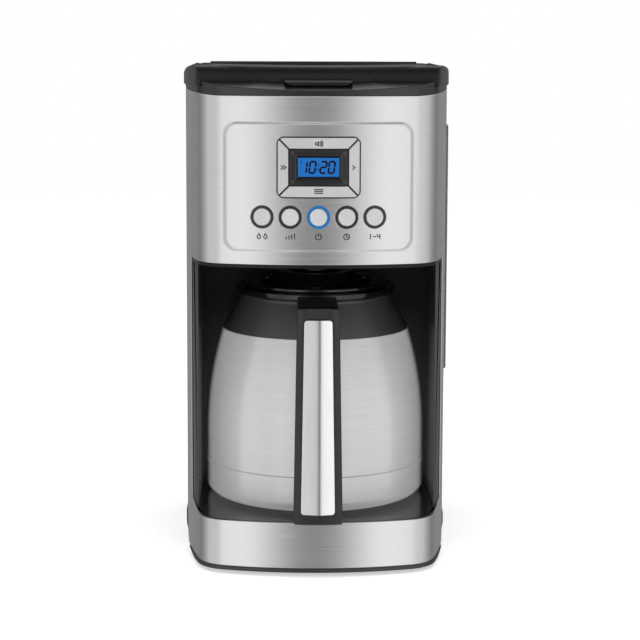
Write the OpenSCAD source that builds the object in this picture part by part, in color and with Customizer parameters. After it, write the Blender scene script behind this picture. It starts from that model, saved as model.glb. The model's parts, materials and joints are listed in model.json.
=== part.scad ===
// Drip coffee maker with a steel wrap, a thermal carafe and a rear water tank.
// X runs to the right, Y to the back and Z up. The origin lies on the standing
// surface, midway between the face of the carafe's handle and the back cover.

/* [Carafe] */
// Largest radius of the carafe's steel body
carafe_r = 83.3; // [80:0.1:88]
// Radius of the steel body at the collar seam
shoulder_r = 71; // [68:0.5:74]
// Height of the steel body, up to the collar seam
carafe_h = 126.4; // [120:0.1:132]
// Height of the lower steel cup
cup_h = 27; // [22:0.5:34]
// Radius of the rounding at the carafe's bottom edge
cup_round = 8; // [4:0.5:12]
// Thickness of the steel sheet of the carafe
carafe_t = 0.8; // [0.6:0.1:1.2]
// Inner radius of the carafe's neck
neck_r = 50; // [46:0.5:52]
// Height of the collar from the seam to its upper lip
collar_h = 32; // [28:0.5:36]
// Radius of the collar's upper lip
lip_r = 61; // [58:0.5:63]
// Height of the carafe lid's dome above the lip
dome_h = 11; // [9:0.5:13]

/* [Handle] */
// How far the handle stands out in front of the housing
handle_reach = 22; // [18:1:30]
// Width of the handle at its top
handle_top_w = 30; // [26:0.5:34]
// Width of the handle at its free lower end
handle_low_w = 35; // [31:0.5:40]
// Thickness of the grip from front to back
handle_t = 13; // [10:0.5:16]
// Lean of the grip: how much further out its lower end stands
handle_lean = 8; // [4:0.5:12]
// Clearance between the handle's lower end and the deck
handle_lift = 4; // [3:0.5:10]

/* [Housing] */
// Gap between the carafe and the bay wall
bay_gap = 3.2; // [2:0.1:5]
// Thickness of each side, from the bay wall to the outside
side_w = 11.5; // [10.5:0.1:16]
// Space in front of the carafe, up to the front of the housing
front_space = 24.7; // [22:0.1:30]
// Space behind the bay, for the water tank and the back cover
rear_space = 34.5; // [32:0.5:46]
// Radius of the bowed front
front_r = 250; // [235:5:300]
// Radius of the housing's front corners
corner_r = 26; // [22:1:28]
// Radius of the housing's gently bowed sides, which close in towards the front
side_r = 320; // [300:10:400]
// Radius of the housing's rear corners
rear_r = 20; // [14:1:26]
// Height of the rubber feet
foot_h = 3; // [2:0.5:4]
// Height of the base, from the feet to the deck
base_h = 36.5; // [34:0.5:42]
// Room between the carafe's lid and the ceiling of the bay
head_room = 16.8; // [14:0.1:20]
// Height of the head, from the ceiling to the top edge of the wrap
head_h = 118.7; // [114:0.1:126]
// Height of the top cap above the wrap
cap_h = 21.3; // [20:0.1:24]
// Thickness of the moulded walls
wall = 2.4; // [2:0.1:2.6]
// Thickness of the steel sheet
wrap_t = 1; // [0.8:0.1:1.2]

/* [Control panel] */
// Width of the raised panel
panel_w = 134; // [126:1:140]
// Height of the raised panel
panel_h = 92; // [88:0.5:94]
// How far the panel is pressed out
panel_out = 1.2; // [0.8:0.1:1.6]
// Corner radius of the raised panel
panel_r = 10; // [6:0.5:14]
// Height of the panel's lower edge above the wrap's lower edge
panel_up = 9; // [7:0.5:12]
// Width of the display unit
display_w = 59.2; // [56:0.2:64]
// Height of the display unit
display_h = 43.4; // [41:0.2:44]
// Width of the display's black bezel
bezel_w = 40; // [38:0.5:42]
// Height of the display's black bezel
bezel_h = 24; // [22:0.5:25]
// Width of the lit screen
screen_w = 28.8; // [27:0.2:30]
// Height of the lit screen
screen_h = 13; // [12:0.2:14]
// Distance between neighbouring round buttons
button_pitch = 19.8; // [18.6:0.1:22]
// Outer diameter of a button's ring
ring_d = 16.4; // [15.6:0.1:17.6]
// Diameter of a round button
button_d = 12.3; // [11.4:0.1:12.8]
// Travel of a round button
button_travel = 1; // [0.6:0.1:1.2]
// Travel of a display pad
pad_travel = 0.5; // [0.3:0.1:0.6]

/* [Brewing] */
// Inner radius of the brew chamber
chamber_r = 68; // [64:0.5:70]
// Radius of the basket at its rim
basket_r = 63; // [60:0.5:63.5]
// Travel of the drip stop when the carafe's lid lifts it
drip_travel = 3; // [2:0.5:4]
// Outer diameter of the water hoses
hose_d = 11; // [10:0.5:12]
// Outer diameter of the heater's tube
heater_d = 15; // [13:0.5:17]

/* [Hidden] */
$fn = 96;
// Gap between parts that move against each other
move_gap = 0.3;
// Gap between parts that are fitted together
fit_gap = 0.15;
// Gap under flanges that rest on the bowed panel
seat_gap = 0.05;
// Radial play of a pin in its bore
pin_play = 0.06;
// Overshoot of cutting shapes
cut = 1;

// Plan of the housing
bay_r = carafe_r + bay_gap;
half_w = bay_r + side_w;
carafe_set = carafe_r + front_space;
body_d = carafe_set + bay_r + rear_space;
front_y = (handle_reach - body_d) / 2;
back_y = front_y + body_d;
carafe_y = front_y + carafe_set;
bow_y = front_y + front_r;
wrap_back = carafe_y - 20;

// Levels of the housing
deck_z = foot_h + base_h;
carafe_z = deck_z + move_gap;
seam_z = carafe_z + cup_h;
shoulder_z = carafe_z + carafe_h;
lip_z = shoulder_z + collar_h;
dome_z = lip_z + dome_h;
ceiling_z = dome_z + head_room;
wrap_top = ceiling_z + head_h;
wrap_low = foot_h + 3;
side_rise = 3.6;
cap_z = wrap_top + cap_h;
plinth_top = deck_z - 15.5;
bay_edge = half_w - 7;
side_y = carafe_y + 5.5;
side_in = side_r - half_w;
edge_y = side_y - sqrt(side_r * side_r - pow(side_in + bay_edge, 2));
column_front = edge_y - 2;
column_back = edge_y + 12;

// Layers behind the wrap
chassis_in = wrap_t + fit_gap;
chassis_back = chassis_in + wall;
cover_in = 0.3;
tank_play = 0.5;
cover_back = cover_in + wall;
liner_r = bay_r + wall;
tank_r = liner_r + tank_play;
tank_in = cover_back + tank_play;
tank_wall = 2;
tank_z = 110;
tank_top = wrap_top - 16;
tank_front = carafe_y + 26;
chamber_top = wrap_top - 7;

// Control panel
panel_z = ceiling_z + panel_up;
display_z = panel_z + 60;
button_z = panel_z + 25;
button_count = 5;
front_face = panel_out + 0.6;
board_y = front_y + 21;
board_t = 1.6;
switch_h = 3.2;
pad_t = 2;
frame_t = 5;
ring_flange = 0.9;

// Brewing parts
basket_floor = ceiling_z + 6;
basket_top = chamber_top - 6;
basket_low_r = 24;
filter_top = basket_top - 1.5;
stem_head = basket_floor + wall + 3.2;
filter_low = stem_head + drip_travel + 0.5;
drip_hole_r = 9;
plunger_cap = ceiling_z - drip_travel - 3;
stem_r = 4;
tube_x = 34;
tube_y = back_y - cover_back - hose_d / 2 - 0.4;
inlet_y = tube_y - 7;
riser_z = tank_top + hose_d / 2 + 0.6;
nozzle_y = tube_y - 24;
heater_z = foot_h + 18;
heater_leg = 34;
heater_y = carafe_y + 42;

// Lid hinge
hinge_y = back_y - 10;
hinge_z = cap_z - 3.7;
hinge_r = 1.6;
knuckle_r = 4.2;
lid_half = half_w - 13.5;
lid_front = front_y + 17.3;
lid_z = wrap_top + 9.9;
lid_skin = 2.2;

// ---------------------------------------------------------------- helpers

// Extrudes an outline drawn in (y, z) along X, from x0 to x1
module along_x(x0, x1) {
    translate([x0, 0, 0]) rotate([90, 0, 90]) linear_extrude(x1 - x0) children();
}

// Extrudes an outline drawn in (x, z) along Y, from y0 to y1
module along_y(y0, y1) {
    translate([0, y1, 0]) rotate([90, 0, 0]) linear_extrude(y1 - y0) children();
}

// Box given by its two corners
module box(low, high) {
    translate(low) cube(high - low);
}

// Cylinder along Y from y0 to y1, at x and z
module rod_y(x, z, y0, y1, r) {
    translate([x, y0, z]) rotate([-90, 0, 0]) cylinder(h = y1 - y0, r = r);
}

// Rectangle with round corners, centred
module round_rect(w, h, r) {
    square([w - 2 * r, h], center = true);
    square([w, h - 2 * r], center = true);
    for (x = [-1, 1], y = [-1, 1])
        translate([x * (w / 2 - r), y * (h / 2 - r)]) circle(r);
}

// Outline of a shell with a bowed front, round corners, sides that close in towards
// the front and a straight back. Its arcs are drawn in flats, which stay parallel
// when the outline is moved in or out.
module bowed_plan(half, front, back, bow, r_front, r_rear) {
    side = half + side_in;
    far = bow - r_front;
    near = side - r_front;
    apart = [-side_in, side_y - front - bow];
    span = norm(apart);
    tilt = atan2(apart[1], apart[0]) + acos((far * far - near * near + span * span) / (2 * far * span));
    c = [0, front + bow] + far * [cos(tilt), sin(tilt)];
    turn = tilt + 90;
    lean = atan2(c[1] - side_y, c[0] + side_in);
    step = turn / 12;
    right = concat(
        arc(c, r_front, tilt, lean, 10),
        arc([-side_in, side_y], side, lean * 9 / 10, 0, 9),
        arc([half - r_rear, back - r_rear], r_rear, 0, 90)
    );
    polygon(concat(
        arc([0, front + bow], bow, step - turn - 90, turn - step - 90, 22),
        right,
        [for (i = [len(right) - 1 : -1 : 0]) [-right[i][0], right[i][1]]]
    ));
}

// The housing's outline, moved in by the given inset
module body_plan(inset = 0) {
    bowed_plan(half_w - inset, front_y + inset, back_y - inset, front_r - inset,
        corner_r - inset, rear_r - inset);
}

module body_slab(inset, z0, z1) {
    translate([0, 0, z0]) linear_extrude(z1 - z0) body_plan(inset);
}

// The lid's outline, moved in by the given inset
module lid_plan(inset = 0) {
    bowed_plan(lid_half - inset, lid_front + inset, hinge_y - knuckle_r - 0.6 - inset,
        front_r - inset, 16 - inset, 8 - inset);
}

module lid_slab(inset, z0, z1) {
    translate([0, 0, z0]) linear_extrude(z1 - z0) lid_plan(inset);
}

// The bay's outline: round behind the carafe, straight towards the front
module bay_plan(r) {
    translate([0, carafe_y]) circle(r);
    translate([-r, front_y - 30]) square([2 * r, carafe_set + 30]);
}

// Points of an arc round c from angle a0 to a1, in flats
function arc(c, r, a0, a1, flats = 8) =
    [for (i = [0 : flats]) c + r * [cos(a0 + (a1 - a0) * i / flats), sin(a0 + (a1 - a0) * i / flats)]];

// Everything in front of, or behind, a plane across Y
module before(y) {
    box([-300, -400, -50], [300, y, 500]);
}

module behind(y) {
    box([-300, y, -50], [300, 400, 500]);
}

// Turns a piece about the bow's axis, so that it lies on the front at arc length x
function bow_angle(x) = x / front_r * 180 / PI;

module on_bow(x) {
    translate([0, bow_y, 0]) rotate([0, 0, bow_angle(x)]) translate([0, -bow_y, 0])
        children();
}

// Layer that follows the bow, from out (before the wrap) to back (behind it)
module bow_layer(out, back, z0, z1) {
    translate([0, bow_y, z0]) difference() {
        cylinder(h = z1 - z0, r = front_r + out, $fn = 360);
        translate([0, 0, -cut]) cylinder(h = z1 - z0 + 2 * cut, r = front_r - back, $fn = 360);
    }
}

// Ring with a rectangular section, standing on z0
module ring(r_out, r_in, z0, z1) {
    translate([0, 0, z0]) difference() {
        cylinder(h = z1 - z0, r = r_out);
        translate([0, 0, -cut]) cylinder(h = z1 - z0 + 2 * cut, r = r_in);
    }
}

// Moves a piece from the Z axis to the carafe's axis
module at_carafe() {
    translate([0, carafe_y, 0]) children();
}

// ---------------------------------------------------- wrap and housing

// Top edge of the wrap seen from the side, raised by up
module above_top_edge(up = 0) {
    polygon([
        [front_y - 20, wrap_top + up],
        [front_y + 10, wrap_top + up],
        [front_y + 23, wrap_top + up + side_rise * 0.4],
        [wrap_back, wrap_top + up + side_rise],
        [back_y + 20, wrap_top + up + side_rise],
        [back_y + 20, cap_z + 40],
        [front_y - 20, cap_z + 40]
    ]);
}

// Region below the wrap's lower edge seen from the side; its corner is an arc
module below_wrap(grow = 0) {
    steps = 12;
    r = plinth_top - wrap_low;
    c = [wrap_back - r, plinth_top];
    polygon(concat(
        [[front_y - 20, -20], [front_y - 20, wrap_low + grow]],
        [for (i = [0 : steps]) c + (r - grow) * [sin(90 * i / steps), -cos(90 * i / steps)]],
        [[c[0] + r - grow, plinth_top + grow], [400, plinth_top + grow], [400, -20]]
    ));
}

// The window for the carafe: square above, rounded below
module window(grow = 0) {
    r = 9.5;
    w = bay_edge + grow;
    translate([-w, deck_z + r]) square([2 * w, ceiling_z - deck_z - r]);
    translate([r - w, deck_z]) square([2 * (w - r), 2 * r]);
    for (x = [-1, 1]) translate([x * (w - r), deck_z + r]) circle(r);
}

// Openings of the control panel, each larger by grow
module panel_openings(grow) {
    along_y(front_y - 10, front_y + 14) translate([0, display_z])
        round_rect(display_w - 2 + 2 * grow, display_h - 2 + 2 * grow, 4.6 + grow);
    for (i = [0 : button_count - 1]) on_bow(button_x(i))
        rod_y(0, button_z, front_y - 10, front_y + 14, ring_body_r + grow);
}

function button_x(i) = (i - (button_count - 1) / 2) * button_pitch;

ring_body_r = ring_d / 2 - 0.8;

module steel_wrap() {
    color("silver") difference() {
        union() {
            intersection() {
                body_slab(0, wrap_low - 2, wrap_top + side_rise);
                before(wrap_back);
            }
            intersection() {
                body_slab(-panel_out, panel_z, panel_z + panel_h);
                along_y(front_y - 10, front_y + 20) translate([0, panel_z + panel_h / 2])
                    round_rect(panel_w, panel_h, panel_r);
            }
        }
        body_slab(wrap_t, wrap_low - 5, wrap_top + side_rise + 5);
        along_x(-200, 200) above_top_edge();
        along_x(-200, 200) below_wrap();
        along_y(front_y - 20, column_back) window();
        panel_openings(fit_gap);
    }
}

// Depth of the bow at x, on the surface that lies inset behind the wrap's face
function bow_depth(x, inset) = bow_y - sqrt(pow(front_r - inset, 2) - x * x);

// Screws that hold the control board, as (x, z)
board_screws = [for (x = [-50, 50], z = [button_z + 14, display_z + 18]) [x, z]];

// Moulded frame behind the wrap, with the bay's front columns, a lip below the
// panel and four bosses for the control board
module front_chassis() {
    color("dimgray") difference() {
        union() {
            front_frame();
            for (p = board_screws)
                rod_y(p[0], p[1], bow_depth(p[0], chassis_in) + 1, board_y - 0.05, 4);
        }
        for (p = board_screws)
            rod_y(p[0], p[1], board_y - 9, board_y + cut, screw_r + 0.05);
    }
}

module front_frame() {
    difference() {
        union() {
            intersection() {
                body_slab(chassis_in, wrap_low - 2, wrap_top + side_rise);
                before(wrap_back);
            }
            difference() {
                intersection() {
                    body_slab(0.2, ceiling_z - lip_h, ceiling_z - fit_gap);
                    box([fit_gap - bay_edge, front_y - 5, 0], [bay_edge - fit_gap, column_front + 4, 400]);
                }
                body_slab(chassis_in + 1, ceiling_z - 10, ceiling_z + 10);
            }
        }
        body_slab(chassis_back, wrap_low - 5, deck_z - 0.01);
        body_slab(chassis_back, ceiling_z - lip_h, wrap_top + side_rise + 5);
        translate([0, 0, deck_z - 0.02]) linear_extrude(ceiling_z - lip_h + 0.04 - deck_z) {
            bay_plan(bay_r);
            translate([-200, front_y - 30]) square([400, column_front - front_y + 30]);
            intersection() {
                body_plan(chassis_back);
                translate([-200, column_back]) square([400, 400]);
            }
        }
        along_x(-200, 200) above_top_edge();
        along_x(-200, 200) below_wrap(fit_gap);
        panel_openings(2 * fit_gap);
    }
}

// Height of the lip below the panel
lip_h = 2.6;

// U-shaped wall of the bay, with the ceiling's seat
module bay_liner() {
    color("black") difference() {
        translate([0, 0, deck_z + 0.1]) linear_extrude(ceiling_z - deck_z - 0.2)
            difference() {
                bay_plan(liner_r);
                bay_plan(bay_r);
            }
        before(column_back + 0.1);
    }
}

// Back and rear sides of the housing, with vents, the gland's hole, the window slot
// and two ledges under the tank
module rear_cover() {
    color("black") {
        cover_shell();
        for (x = [-62, 4]) box([x, back_y - cover_back - 12, tank_z - 4],
            [x + 10, back_y - cover_back + 0.5, tank_z - fit_gap]);
    }
}

module cover_shell() {
    vents = 9;
    difference() {
        intersection() {
            body_slab(cover_in, plinth_top + fit_gap, wrap_top + side_rise - fit_gap);
            behind(wrap_back + fit_gap);
        }
        body_slab(cover_back, plinth_top - 5, wrap_top + side_rise + 5);
        for (i = [0 : vents - 1])
            along_y(back_y - 10, back_y + 5) translate([0, 60 + i * 7])
                round_rect(74, 2.6, 1.2);
        along_x(0, half_w + 10) window_outline(fit_gap);
        rod_y(gland_x, gland_z, back_y - 20, back_y + 5, gland_body_r + fit_gap);
    }
}

// Outline of the water window seen from the side
module window_outline(grow) {
    translate([carafe_y + 2, (window_low + window_high) / 2])
        round_rect(36 + 2 * grow, window_high - window_low + 2 * grow, 6 + grow);
}

window_low = ceiling_z - 91;
window_high = wrap_top - 24.7;

// Plinth round the base: skirt, bottom rim and screw bosses
module base_plinth() {
    color("black") difference() {
        intersection() {
            union() {
                difference() {
                    body_slab(-0.8, foot_h, plinth_top);
                    body_slab(5, foot_h - cut, foot_h + 12);
                    body_slab(cover_back, foot_h + 12 - 0.01, plinth_top + cut);
                    along_x(-200, 200) translate([0, -fit_gap]) difference() {
                        translate([front_y - 30, 0]) square([480, 200]);
                        below_wrap(0);
                    }
                }
                difference() {
                    body_slab(0.6, foot_h, wrap_low - fit_gap);
                    body_slab(9, foot_h - cut, wrap_low + cut);
                }
                for (x = [-1, 1], y = boss_y) {
                    translate([x * boss_x, y, foot_h + 2.6]) cylinder(h = 14, r = 5.5);
                    intersection() {
                        body_slab(chassis_back + 0.6, foot_h, foot_h + 20);
                        box([min(x * boss_x, x * half_w), y - 2, foot_h + 2.6],
                            [max(x * boss_x, x * half_w), y + 2, foot_h + 9]);
                    }
                }
            }
            plinth_section();
        }
        for (x = [-1, 1], y = boss_y)
            translate([x * boss_x, y, foot_h]) cylinder(h = 14, r = screw_r + 0.05);
    }
}

// Front view of the plinth: drawn in towards the bottom
module plinth_section() {
    right = [
        [half_w - 8, foot_h - cut], [half_w - 8, foot_h], [half_w - 3.6, foot_h + 2.2],
        [half_w - 1.8, foot_h + 8], [half_w - 0.4, foot_h + 13.5],
        [half_w + 2, foot_h + 19], [half_w + 2, plinth_top + 20]
    ];
    along_y(-300, 300) polygon(concat(
        right, [for (i = [len(right) - 1 : -1 : 0]) [-right[i][0], right[i][1]]]
    ));
}

boss_x = half_w - 21;
boss_y = [front_y + 50, back_y - 24];
screw_r = 1.6;

// Bottom cover with vent slots
module base_plate() {
    color("black") difference() {
        body_slab(9.2, foot_h, foot_h + 2.5);
        for (x = [-1, 1], y = boss_y)
            translate([x * boss_x, y, 0]) {
                cylinder(h = 20, r = screw_r + 0.3);
                cylinder(h = foot_h + 1.2, r = 3.4);
            }
        for (x = [-4 : 4])
            translate([x * 9, 60, foot_h]) linear_extrude(10, center = true)
                round_rect(3, 34, 1.4);
    }
}

// Floor of the bay, on which the carafe stands
module carafe_platform() {
    color("black") difference() {
        translate([0, 0, deck_z - 2.5]) linear_extrude(2.5) intersection() {
            body_plan(chassis_back + fit_gap);
            bay_plan(bay_r - 0.1);
        }
        at_carafe() ring(carafe_r - 12, carafe_r - 16, deck_z - 0.8, deck_z + cut);
    }
}

// Rim of the head round the lid: low visor in front, round shoulders at the sides
module top_cap() {
    color("black") difference() {
        union() {
            intersection() {
                body_slab(0, wrap_top - 5, wrap_top + 10.5);
                along_x(-300, 300) polygon([
                    [front_y - 5, wrap_top - 5], [front_y - 5, wrap_top + 3.9],
                    [front_y, wrap_top + 3.9], [front_y + 17, wrap_top + 9.3],
                    [back_y + 5, wrap_top + 9.3], [back_y + 5, wrap_top - 5]
                ]);
            }
            intersection() {
                body_slab(-cap_out, wrap_top + 6, cap_z + 5);
                cap_section();
                cap_side();
            }
        }
        along_x(-200, 200) difference() {
            translate([front_y - 30, wrap_top - 30]) square([500, 60]);
            above_top_edge(fit_gap);
        }
        lid_slab(3.5, wrap_top - 5, cap_z);
        lid_slab(-0.5, lid_z - move_gap, cap_z + 5);
        intersection() {
            body_slab(wall + 5, wrap_top - 6, wrap_top + 7);
            behind(front_y + 21);
        }
        hinge_room();
        translate([-lid_half - 5, hinge_y, hinge_z]) rotate([0, 90, 0])
            cylinder(h = 2 * lid_half + 10, r = hinge_r);
    }
}

// How far the cap stands out over the wrap, and the radius of its shoulders
cap_out = 1.3;
shoulder_round = 11;

// Front view of the cap: round shoulders
module cap_section() {
    edge = half_w + cap_out;
    along_y(-300, 300) {
        translate([-edge - 1, wrap_top - 5]) square([2 * edge + 2, cap_h + 4.6 - shoulder_round]);
        translate([shoulder_round - edge, wrap_top - 5])
            square([2 * (edge - shoulder_round), cap_h + 4.6]);
        for (x = [-1, 1]) translate([x * (edge - shoulder_round), cap_z - 0.4 - shoulder_round])
            circle(shoulder_round);
    }
}

// Side view of the cap: the shoulders begin behind the visor
module cap_side() {
    start = front_y + 19.5;
    top = cap_z - 0.4;
    along_x(-300, 300) polygon(concat(
        [[back_y + 20, top], [back_y + 20, wrap_top], [start, wrap_top]],
        arc([start + shoulder_round, top - shoulder_round], shoulder_round, 180, 90)
    ));
}

// Room in the cap for the lid's barrel
module hinge_room() {
    w = lid_half - 0.5;
    r = knuckle_r + 0.6;
    translate([-w, hinge_y, hinge_z]) rotate([0, 90, 0]) cylinder(h = 2 * w, r = r);
    box([-w, hinge_y - knuckle_r - 9, hinge_z - r + 0.5], [w, hinge_y, cap_z + 5]);
}

// ---------------------------------------------------- water and brewing

// Crescent outline of the tank, moved in by the given inset
module tank_plan(inset = 0) {
    difference() {
        intersection() {
            body_plan(tank_in + inset);
            translate([-200, tank_front + inset]) square([400, 300]);
        }
        translate([0, carafe_y]) circle(tank_r + inset);
        translate([tube_x, tube_y]) circle(hose_d / 2 + 2 + inset);
        translate([tube_x - hose_d / 2 - 2 - inset, tube_y])
            square([hose_d + 4 + 2 * inset, 60]);
    }
}

module water_tank() {
    color("gray", 0.6) difference() {
        translate([0, 0, tank_z]) linear_extrude(tank_top - tank_z) tank_plan();
        translate([0, 0, tank_z + tank_wall]) linear_extrude(tank_top) tank_plan(tank_wall);
        translate([-tube_x, inlet_y, tank_z - cut]) cylinder(h = 10, r = hose_d / 2 - 2.4);
    }
}

// Sight channel on the right side, level with the tank and slightly proud
module water_window() {
    color("lightgray", 0.5) difference() {
        union() {
            intersection() {
                body_slab(-1.6, window_low, window_high);
                along_x(half_w - 20, half_w + 3) window_outline(0);
            }
            box([liner_r + 0.6, carafe_y - 14, window_low + 8],
                [half_w - 1, tank_front - 0.2, window_high - 8]);
        }
        translate([0, 0, window_low - 5]) linear_extrude(400) difference() {
            translate([0, carafe_y - 100]) square([liner_r + 0.6, 300]);
        }
        box([liner_r + 2, carafe_y - 12, window_low + 10],
            [half_w - 1, tank_front - 2, window_high - 10]);
        along_x(half_w - 3, half_w + 10) difference() {
            translate([carafe_y - 60, 0]) square([150, 500]);
            window_outline(0);
        }
    }
}

// Cup in the head that carries the basket, with the bay's ceiling
module brew_chamber() {
    color("black") difference() {
        union() {
            translate([0, 0, ceiling_z + 0.1]) linear_extrude(wall) intersection() {
                body_plan(chassis_back + fit_gap);
                bay_plan(liner_r);
            }
            at_carafe() cylinder_from(ceiling_z + 0.1, chamber_top, chamber_r + wall);
        }
        at_carafe() {
            cylinder_from(ceiling_z + wall, chamber_top + cut, chamber_r);
            cylinder_from(ceiling_z - cut, ceiling_z + 10, drip_hole_r + 6);
        }
    }
}

module cylinder_from(z0, z1, r) {
    translate([0, 0, z0]) cylinder(h = z1 - z0, r = r);
}

// Cone between two levels
module cone(z0, r0, z1, r1) {
    translate([0, 0, z0]) cylinder(h = z1 - z0, r1 = r0, r2 = r1);
}

// Removable basket: a cone with a flat floor, a neck below and a flange with lugs
module filter_basket() {
    low_r = basket_low_r + 8;
    color("dimgray") at_carafe() difference() {
        union() {
            cone(basket_floor, low_r, basket_top - 6, basket_r);
            cylinder_from(basket_top - 6.02, chamber_top + 2.1, basket_r);
            cylinder_from(chamber_top + 0.1, chamber_top + 2, chamber_r + 1);
            cylinder_from(ceiling_z + 0.4, basket_floor + 1, drip_hole_r + 5.6);
        }
        cone(basket_floor + wall, low_r - wall, basket_top - 6, basket_r - wall);
        cylinder_from(basket_top - 6.01, chamber_top + 5, basket_r - wall);
        cylinder_from(ceiling_z - cut, basket_floor + 0.6, drip_hole_r + 0.8);
        cylinder_from(ceiling_z - 5, basket_floor + 10, stem_r + move_gap);
        for (a = [45, 135, 225, 315]) rotate([0, 0, a])
            box([chamber_r - 1, -3, chamber_top - 1], [chamber_r + 5, 3, chamber_top + 5]);
    }
}

// Reusable mesh cone with a plastic rim
module permanent_filter() {
    color("goldenrod") at_carafe() difference() {
        union() {
            cone(filter_low, basket_low_r - 2, filter_top - 6, basket_r - 8.5);
            cylinder_from(filter_top - 6.01, filter_top, basket_r - wall - 1.2);
        }
        cone(filter_low + 1, basket_low_r - 3, filter_top - 6, basket_r - 9.5);
        cylinder_from(filter_top - 6.02, filter_top + cut, basket_r - 9.5);
    }
}

// Cage in the tank for the charcoal pod
charcoal_x = -half_w + tank_in + 18;
charcoal_y = back_y - tank_in - tank_wall - 13;

module charcoal_holder() {
    color("dimgray") translate([charcoal_x, charcoal_y, 0]) difference() {
        box([-9, -9, tank_z + tank_wall + 0.1], [9, 9, tank_top - 20]);
        box([-7.4, -7.4, tank_z + 24], [7.4, 20, tank_top - 40]);
        for (i = [0 : 4])
            box([-4, -20, tank_z + 30 + i * 26], [4, -5, tank_z + 46 + i * 26]);
    }
}

module charcoal_pod() {
    color("white") translate([charcoal_x, charcoal_y, 0])
        box([-7, -7, tank_z + 24.1], [7, 6, tank_z + 70]);
}

// Flip-up lid over the basket and the tank
module reservoir_lid() {
    color("black") difference() {
        union() {
            lid_body(0);
            lid_tab();
            lid_barrel();
        }
        lid_body(lid_skin);
        translate([-lid_half - 10, hinge_y, hinge_z]) rotate([0, 90, 0])
            cylinder(h = 2 * lid_half + 20, r = hinge_r + pin_play);
    }
}

// Radius of the lid's front edge
lid_round = 12;

// The lid's block, moved in by inset; an inset block is open below
module lid_body(inset) {
    top = cap_z + 0.9;
    low = inset > 0 ? lid_z - 20 : lid_z;
    intersection() {
        lid_slab(inset, low, top + 5);
        along_x(-200, 200) polygon(concat(
            [[back_y + 20, top - inset], [back_y + 20, lid_z - 30], [lid_front - 1, lid_z - 30]],
            arc([lid_front + lid_round - 1, top - lid_round], lid_round - inset, 180, 90)
        ));
    }
}

// Grip tab over the visor
module lid_tab() {
    intersection() {
        along_x(-30, 30) polygon([
            [lid_front + 3, lid_z + 0.1], [lid_front + 3, lid_z + 6], [lid_front - 6, lid_z + 1.8],
            [lid_front - 10, lid_z - 0.6], [lid_front - 10.5, lid_z - 3.2],
            [lid_front - 9, lid_z - 2.9], [lid_front - 4, lid_z - 1.4], [lid_front, lid_z - 0.2]
        ]);
        along_y(front_y - 20, front_y + 40) polygon([
            [-20, lid_z - 6], [20, lid_z - 6], [24.6, lid_z], [24.6, lid_z + 20],
            [-24.6, lid_z + 20], [-24.6, lid_z]
        ]);
    }
}

// Barrel along the lid's rear edge, round the hinge pin
module lid_barrel() {
    w = lid_half - 1;
    translate([-w, hinge_y, hinge_z]) rotate([0, 90, 0]) cylinder(h = 2 * w, r = knuckle_r);
    box([1 - w, hinge_y - knuckle_r - 2, hinge_z - 1.2],
        [w - 1, hinge_y, hinge_z + knuckle_r - 1.6]);
}

// Inner panel that closes the lid from below
module lid_liner() {
    color("dimgray") difference() {
        lid_slab(lid_skin + fit_gap, lid_z + 1, lid_z + 3);
        at_carafe() cylinder_from(lid_z - 5, lid_z + 10, 13);
    }
}

// Water duct and spray disc, carried by the lid
module showerhead() {
    color("dimgray") union() {
        at_carafe() difference() {
            union() {
                cylinder_from(lid_z - 11, lid_z - 5, 30);
                cylinder_from(lid_z - 5.01, lid_z + 4, 12.6);
            }
            cylinder_from(lid_z - 9, lid_z + 1.4, 9);
            for (i = [0 : 7]) rotate([0, 0, i * 45])
                translate([20, 0, 0]) cylinder_from(lid_z - 20, lid_z, 1.5);
        }
        hull() {
            translate([0, carafe_y + 11, 0]) cylinder_from(lid_z - 5, lid_z + 0.8, 6, $fn = 32);
            translate([tube_x, nozzle_y, 0]) cylinder_from(lid_z - 5, lid_z + 0.8, 6, $fn = 32);
        }
    }
}

module hinge_pin() {
    color("silver") translate([-lid_half - 4.9, hinge_y, hinge_z]) rotate([0, 90, 0])
        cylinder(h = 2 * lid_half + 9.8, r = hinge_r - 0.02);
}

// Plunger under the basket, lifted by the carafe's lid
module drip_stop_plunger() {
    color("dimgray") at_carafe() {
        cylinder_from(dome_z + move_gap + 0.5, basket_floor + wall + 3, stem_r);
        cylinder_from(dome_z + move_gap, plunger_cap, drip_hole_r);
        cylinder_from(basket_floor + wall + move_gap + 1, stem_head, 6.5);
    }
}

// Return spring between the plunger's cap and the basket's neck
spring_wire = 0.5;
spring_turns = 4;
spring_steps = 20;
spring_low = plunger_cap + move_gap + spring_wire;
spring_high = basket_floor + 0.6 - move_gap - spring_wire;

// Corner k of the wire's section at step i of the coil
function coil_point(i, k, r = 7, sides = 6) =
    let (a = 360 * i / spring_steps, b = 360 * k / sides, n = spring_turns * spring_steps)
    [(r + spring_wire * cos(b)) * cos(a), (r + spring_wire * cos(b)) * sin(a),
        spring_low + (spring_high - spring_low) * i / n + spring_wire * sin(b)];

module drip_stop_spring() {
    n = spring_turns * spring_steps;
    sides = 6;
    color("silver") at_carafe() polyhedron(
        points = [for (i = [0 : n], k = [0 : sides - 1]) coil_point(i, k)],
        faces = concat(
            [[for (k = [0 : sides - 1]) k]],
            [[for (k = [sides - 1 : -1 : 0]) n * sides + k]],
            [for (i = [0 : n - 1], k = [0 : sides - 1]) let (m = (k + 1) % sides)
                [i * sides + k, (i + 1) * sides + k, (i + 1) * sides + m, i * sides + m]]
        )
    );
}

module drip_stop_seal() {
    color("gray") at_carafe() ring(6.3, stem_r + 0.02, basket_floor + wall + move_gap,
        basket_floor + wall + move_gap + 0.98);
}

// ---------------------------------------------------- control panel

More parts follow.
